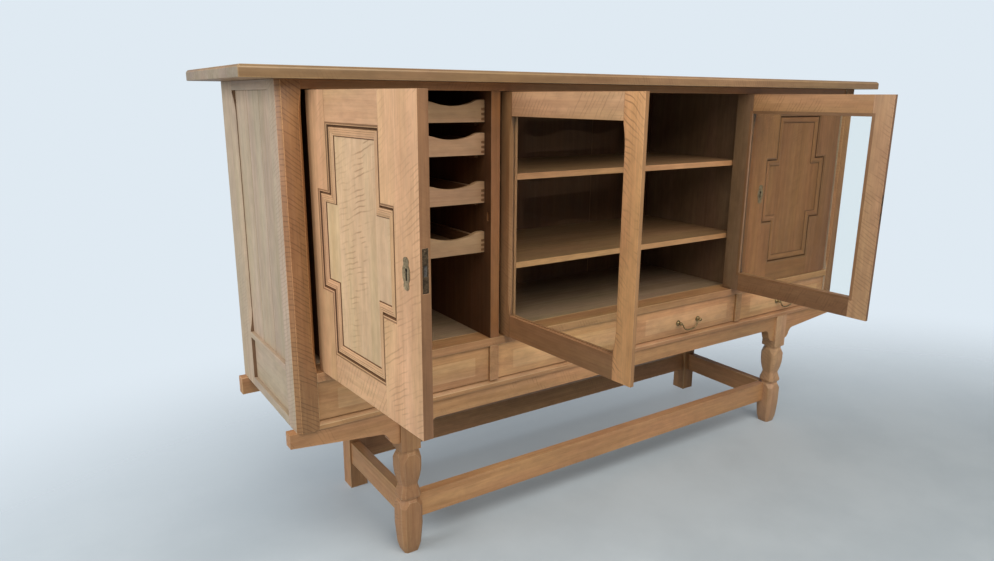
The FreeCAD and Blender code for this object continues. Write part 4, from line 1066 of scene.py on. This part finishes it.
def keyhole_cutter():
    middle = -KEY_FLOOR - KEY_DEPTH / 2
    bpy.ops.mesh.primitive_cylinder_add(vertices=TURN_SIDES, radius=KEY_RADIUS, depth=KEY_DEPTH,
                                        location=(0, middle, KEY_RISE), rotation=(math.radians(90), 0, 0))
    hole = bpy.context.object
    bpy.ops.mesh.primitive_cube_add(size=1.0, location=(0, middle, (KEY_RISE - KEY_FALL) / 2),
                                    scale=(KEY_SLOT, KEY_DEPTH, KEY_RISE + KEY_FALL))
    return [hole, bpy.context.object]


def cut_out(piece, cutter):
    pick(piece)
    saw = piece.modifiers.new("saw", "BOOLEAN")
    saw.operation = "DIFFERENCE"
    saw.object = cutter
    bpy.ops.object.modifier_apply(modifier=saw.name)
    bpy.data.objects.remove(cutter)


print("an outline of", len(plate_outline()), "points")

# %% [markdown]
# The sheet itself follows. Faces near the door that look outwards are the floor of the keyhole, so the
# painted shadow goes to them.

# %% Saw out a key plate


def key_plate(name):
    mesh = bpy.data.meshes.new(name)
    corners = plate_outline()
    mesh.from_pydata(corners, [], [list(range(len(corners)))])
    plate = new_object(name, mesh)
    start_edit(plate, "FACE", "SELECT")
    bpy.ops.mesh.extrude_region_move(TRANSFORM_OT_translate={"value": (0, -PLATE_SHEET, 0)})
    for width, rise in PLATE_RIM:
        bpy.ops.mesh.inset(thickness=width * MM, depth=rise * MM)
    end_edit()
    for cutter in keyhole_cutter():
        cut_out(plate, cutter)
    pick(plate)
    bpy.ops.object.shade_smooth_by_angle(angle=SHARP)
    give_coats(plate, key_brass, lock_dark)
    # the floor of the keyhole takes the painted shadow
    for face in plate.data.polygons:
        inside = face.center.y > -2 * KEY_FLOOR and face.normal.y < -FACING
        face.material_index = int(inside)
    return plate


trial = key_plate("trial_plate")
print("a key plate of", len(trial.data.polygons), "faces")
bpy.data.objects.remove(trial)

# %% [markdown]
# ## Locks
#
# A mortise lock shows only its plate, let into the door's edge, and the end of its bolt. Pins, plate and
# case are copied from their solids, and a screw goes near each end of a wooden door's plate. The right
# glass door has the strike plate that the bolt of the left one enters.

# %% Fit the locks
KEY_ACROSS, KEY_HEIGHT, LOCK_HEIGHT = 366.95 * MM, 796.0 * MM, 807.0 * MM
DOOR_WIDE, DOOR_MIDDLE, SCREW_SPREAD = 410.95 * MM, 2.0 * MM, 31.0 * MM
METAL_EDGE = 0.4 * MM


def metal_board(name, corners, triangles):
    board = board_object(name, corners, triangles)
    give_coats(board, bronze, bronze)
    ease_edges(board, METAL_EDGE)
    return board


def plate_screws(door):
    outwards = turned(90 * hand_of(door), "Z")
    return [put(screw, f"{door}_screw_{number}",
                on_door(door, DOOR_WIDE, DOOR_MIDDLE, LOCK_HEIGHT + rise) @ outwards)
            for number, rise in enumerate((-SCREW_SPREAD, SCREW_SPREAD))]


def fit_lock(door):
    corners, solids = solids_of(f"{door}_hardware")
    if door in PANEL_DOORS:
        solids = solids[:-1]  # the last one is the plain key plate
    pieces = [metal_board(f"{door}_metal_{number}", corners, triangles)
              for number, triangles in enumerate(solids)]
    if door in PANEL_DOORS:
        plate = key_plate(f"{door}_key_plate")
        hang(plate, door, KEY_ACROSS, KEY_HEIGHT)
        pieces += plate_screws(door) + [plate]
    piece = join(pieces, f"{door}_lock_metal")
    stand_for(piece, f"{door}_hardware")
    return piece


for door in (*PANEL_DOORS, *GLASS_OAK):
    print(door, len(fit_lock(door).data.polygons), "faces of metal")
for bolt in ("left_door_bolt", "right_door_bolt", "left_glass_bolt"):
    nodes[bolt].data.materials[0] = steel
bpy.data.objects.remove(screw)

# %% [markdown]
# ## Glass
#
# The panes are thin drawn glass, a little green and not quite clean. A pane of this thickness takes next to
# no light away, so it casts no shadow, and its index is set low, so that what lies behind it shows better
# than what it mirrors. Its edges are ground, as a glazier leaves them.

# %% Set the panes
SMEAR_CLOUD, SMEAR_RANGE, SMEAR_ROUGH = ((3.0, 3.0, 5.0), 3.0), (0.35, 0.75), 0.04
GREENISH, PANE_INDEX, PANE_EDGE = (0.95, 0.98, 0.96, 1), 1.2, 0.5 * MM
glass, shader = new_finish("window_glass")
tree = glass.node_tree
smear = noise(tree, add(tree, "TexCoord", {}).outputs["Object"], *SMEAR_CLOUD)
fill(tree, shader, {"Base Color": GREENISH, "Transmission Weight": 1.0, "IOR": PANE_INDEX,
                    "Roughness": remap(tree, smear, *SMEAR_RANGE, 0.0, SMEAR_ROUGH)})
for door in GLASS_OAK:
    corners, solids = solids_of(f"{door}_pane")
    pane = board_object(f"{door}_ground_pane", corners, solids[0])
    give_coats(pane, glass, glass)
    ease_edges(pane, PANE_EDGE)
    pane.visible_shadow = False
    stand_for(pane, f"{door}_pane")
print("two panes set")

# %% [markdown]
# ## The studio
#
# The cabinet stands on a pale floor that fades into pale surroundings. A floor could end in a curved
# backdrop, but fading it out with a transparent shader leaves no line behind the object from any side.

# %% Lay the floor
FLOOR_SIZE, FADE_CENTRE, FADE_FROM, FADE_TO = 14.0, (-0.3, -1.8, 0.0), 1.7, 3.6
FLOOR_DARK, FLOOR_PALE = (0.50, 0.565, 0.61, 1), (0.55, 0.615, 0.66, 1)
FLOOR_CLOUD, FLOOR_RANGE = ((2.5, 2.5, 2.5), 5.0, 0.6), (0.35, 0.65)
FLOOR_ROUGH_RANGE, FLOOR_ROUGH = (0.3, 0.7), (0.5, 0.7)

bpy.ops.object.select_all(action="DESELECT")
bpy.ops.mesh.primitive_plane_add(size=FLOOR_SIZE)
floor = bpy.context.object
floor.name = "floor"
finish, shader = new_finish("pale_floor")
tree = finish.node_tree
place = add(tree, "TexCoord", {}).outputs["Object"]
cloud = noise(tree, place, *FLOOR_CLOUD)
colour = blend_colours(tree, remap(tree, cloud, *FLOOR_RANGE), FLOOR_DARK, FLOOR_PALE)
rough = remap(tree, cloud, *FLOOR_ROUGH_RANGE, *FLOOR_ROUGH)
fill(tree, shader, {"Base Color": colour, "Roughness": rough})
far = add(tree, "VectorMath", {0: place, 1: FADE_CENTRE}, operation="DISTANCE").outputs["Value"]
clear = add(tree, "BsdfTransparent", {}).outputs[0]
faded = add(tree, "MixShader", {0: remap(tree, far, FADE_FROM, FADE_TO), 1: shader.outputs[0], 2: clear})
tree.links.new(faded.outputs[0], tree.nodes["Material Output"].inputs[0])
floor.data.materials.append(finish)
print("a floor that fades out", FADE_TO, "m from its middle")

# %% [markdown]
# The surroundings are pale for the camera, for gloss and for glass, and give only a little light, so that
# the open compartments stay dark. The light comes from a large soft lamp high in front, and from another one
# at the left, as cool as daylight.

# %% Surroundings and lamps
PALE, AMBIENT, MIRRORED = (0.74, 0.82, 0.89, 1), 0.15, 0.5

world = bpy.data.worlds.new("studio")
world.use_nodes = True
bpy.context.scene.world = world
tree = world.node_tree
light_path = add(tree, "LightPath", {}).outputs
seen = math_of(tree, "MAXIMUM", light_path["Is Camera Ray"], light_path["Is Transmission Ray"])
gloss = remap(tree, light_path["Is Glossy Ray"], 0.0, 1.0, AMBIENT, MIRRORED)
strength = math_of(tree, "MAXIMUM", seen, gloss)
fill(tree, tree.nodes["Background"], {"Color": PALE, "Strength": strength})


def lamp(name, place, aim, size, power, colour):
    bpy.ops.object.light_add(type="AREA", location=place)
    made = bpy.context.object
    made.name = name
    made.data.shape = "RECTANGLE"
    made.data.size, made.data.size_y = size
    made.data.energy = power
    made.data.color = colour
    made.rotation_euler = (Vector(aim) - Vector(place)).to_track_quat("-Z", "Y").to_euler()
    return made


WARM, COOL = (1.0, 0.96, 0.90), (0.95, 0.98, 1.0)
lamp("front_lamp", place=(-0.6, -2.4, 3.4), aim=(0.0, 0.0, 0.6), size=(4.0, 3.0), power=138.0, colour=WARM)
lamp("window_lamp", place=(-4.0, 0.2, 1.9), aim=(-0.6, -0.1, 0.7), size=(2.4, 2.0), power=84.0, colour=COOL)
bpy.context.scene.view_settings.view_transform = "Standard"
print("studio lit")
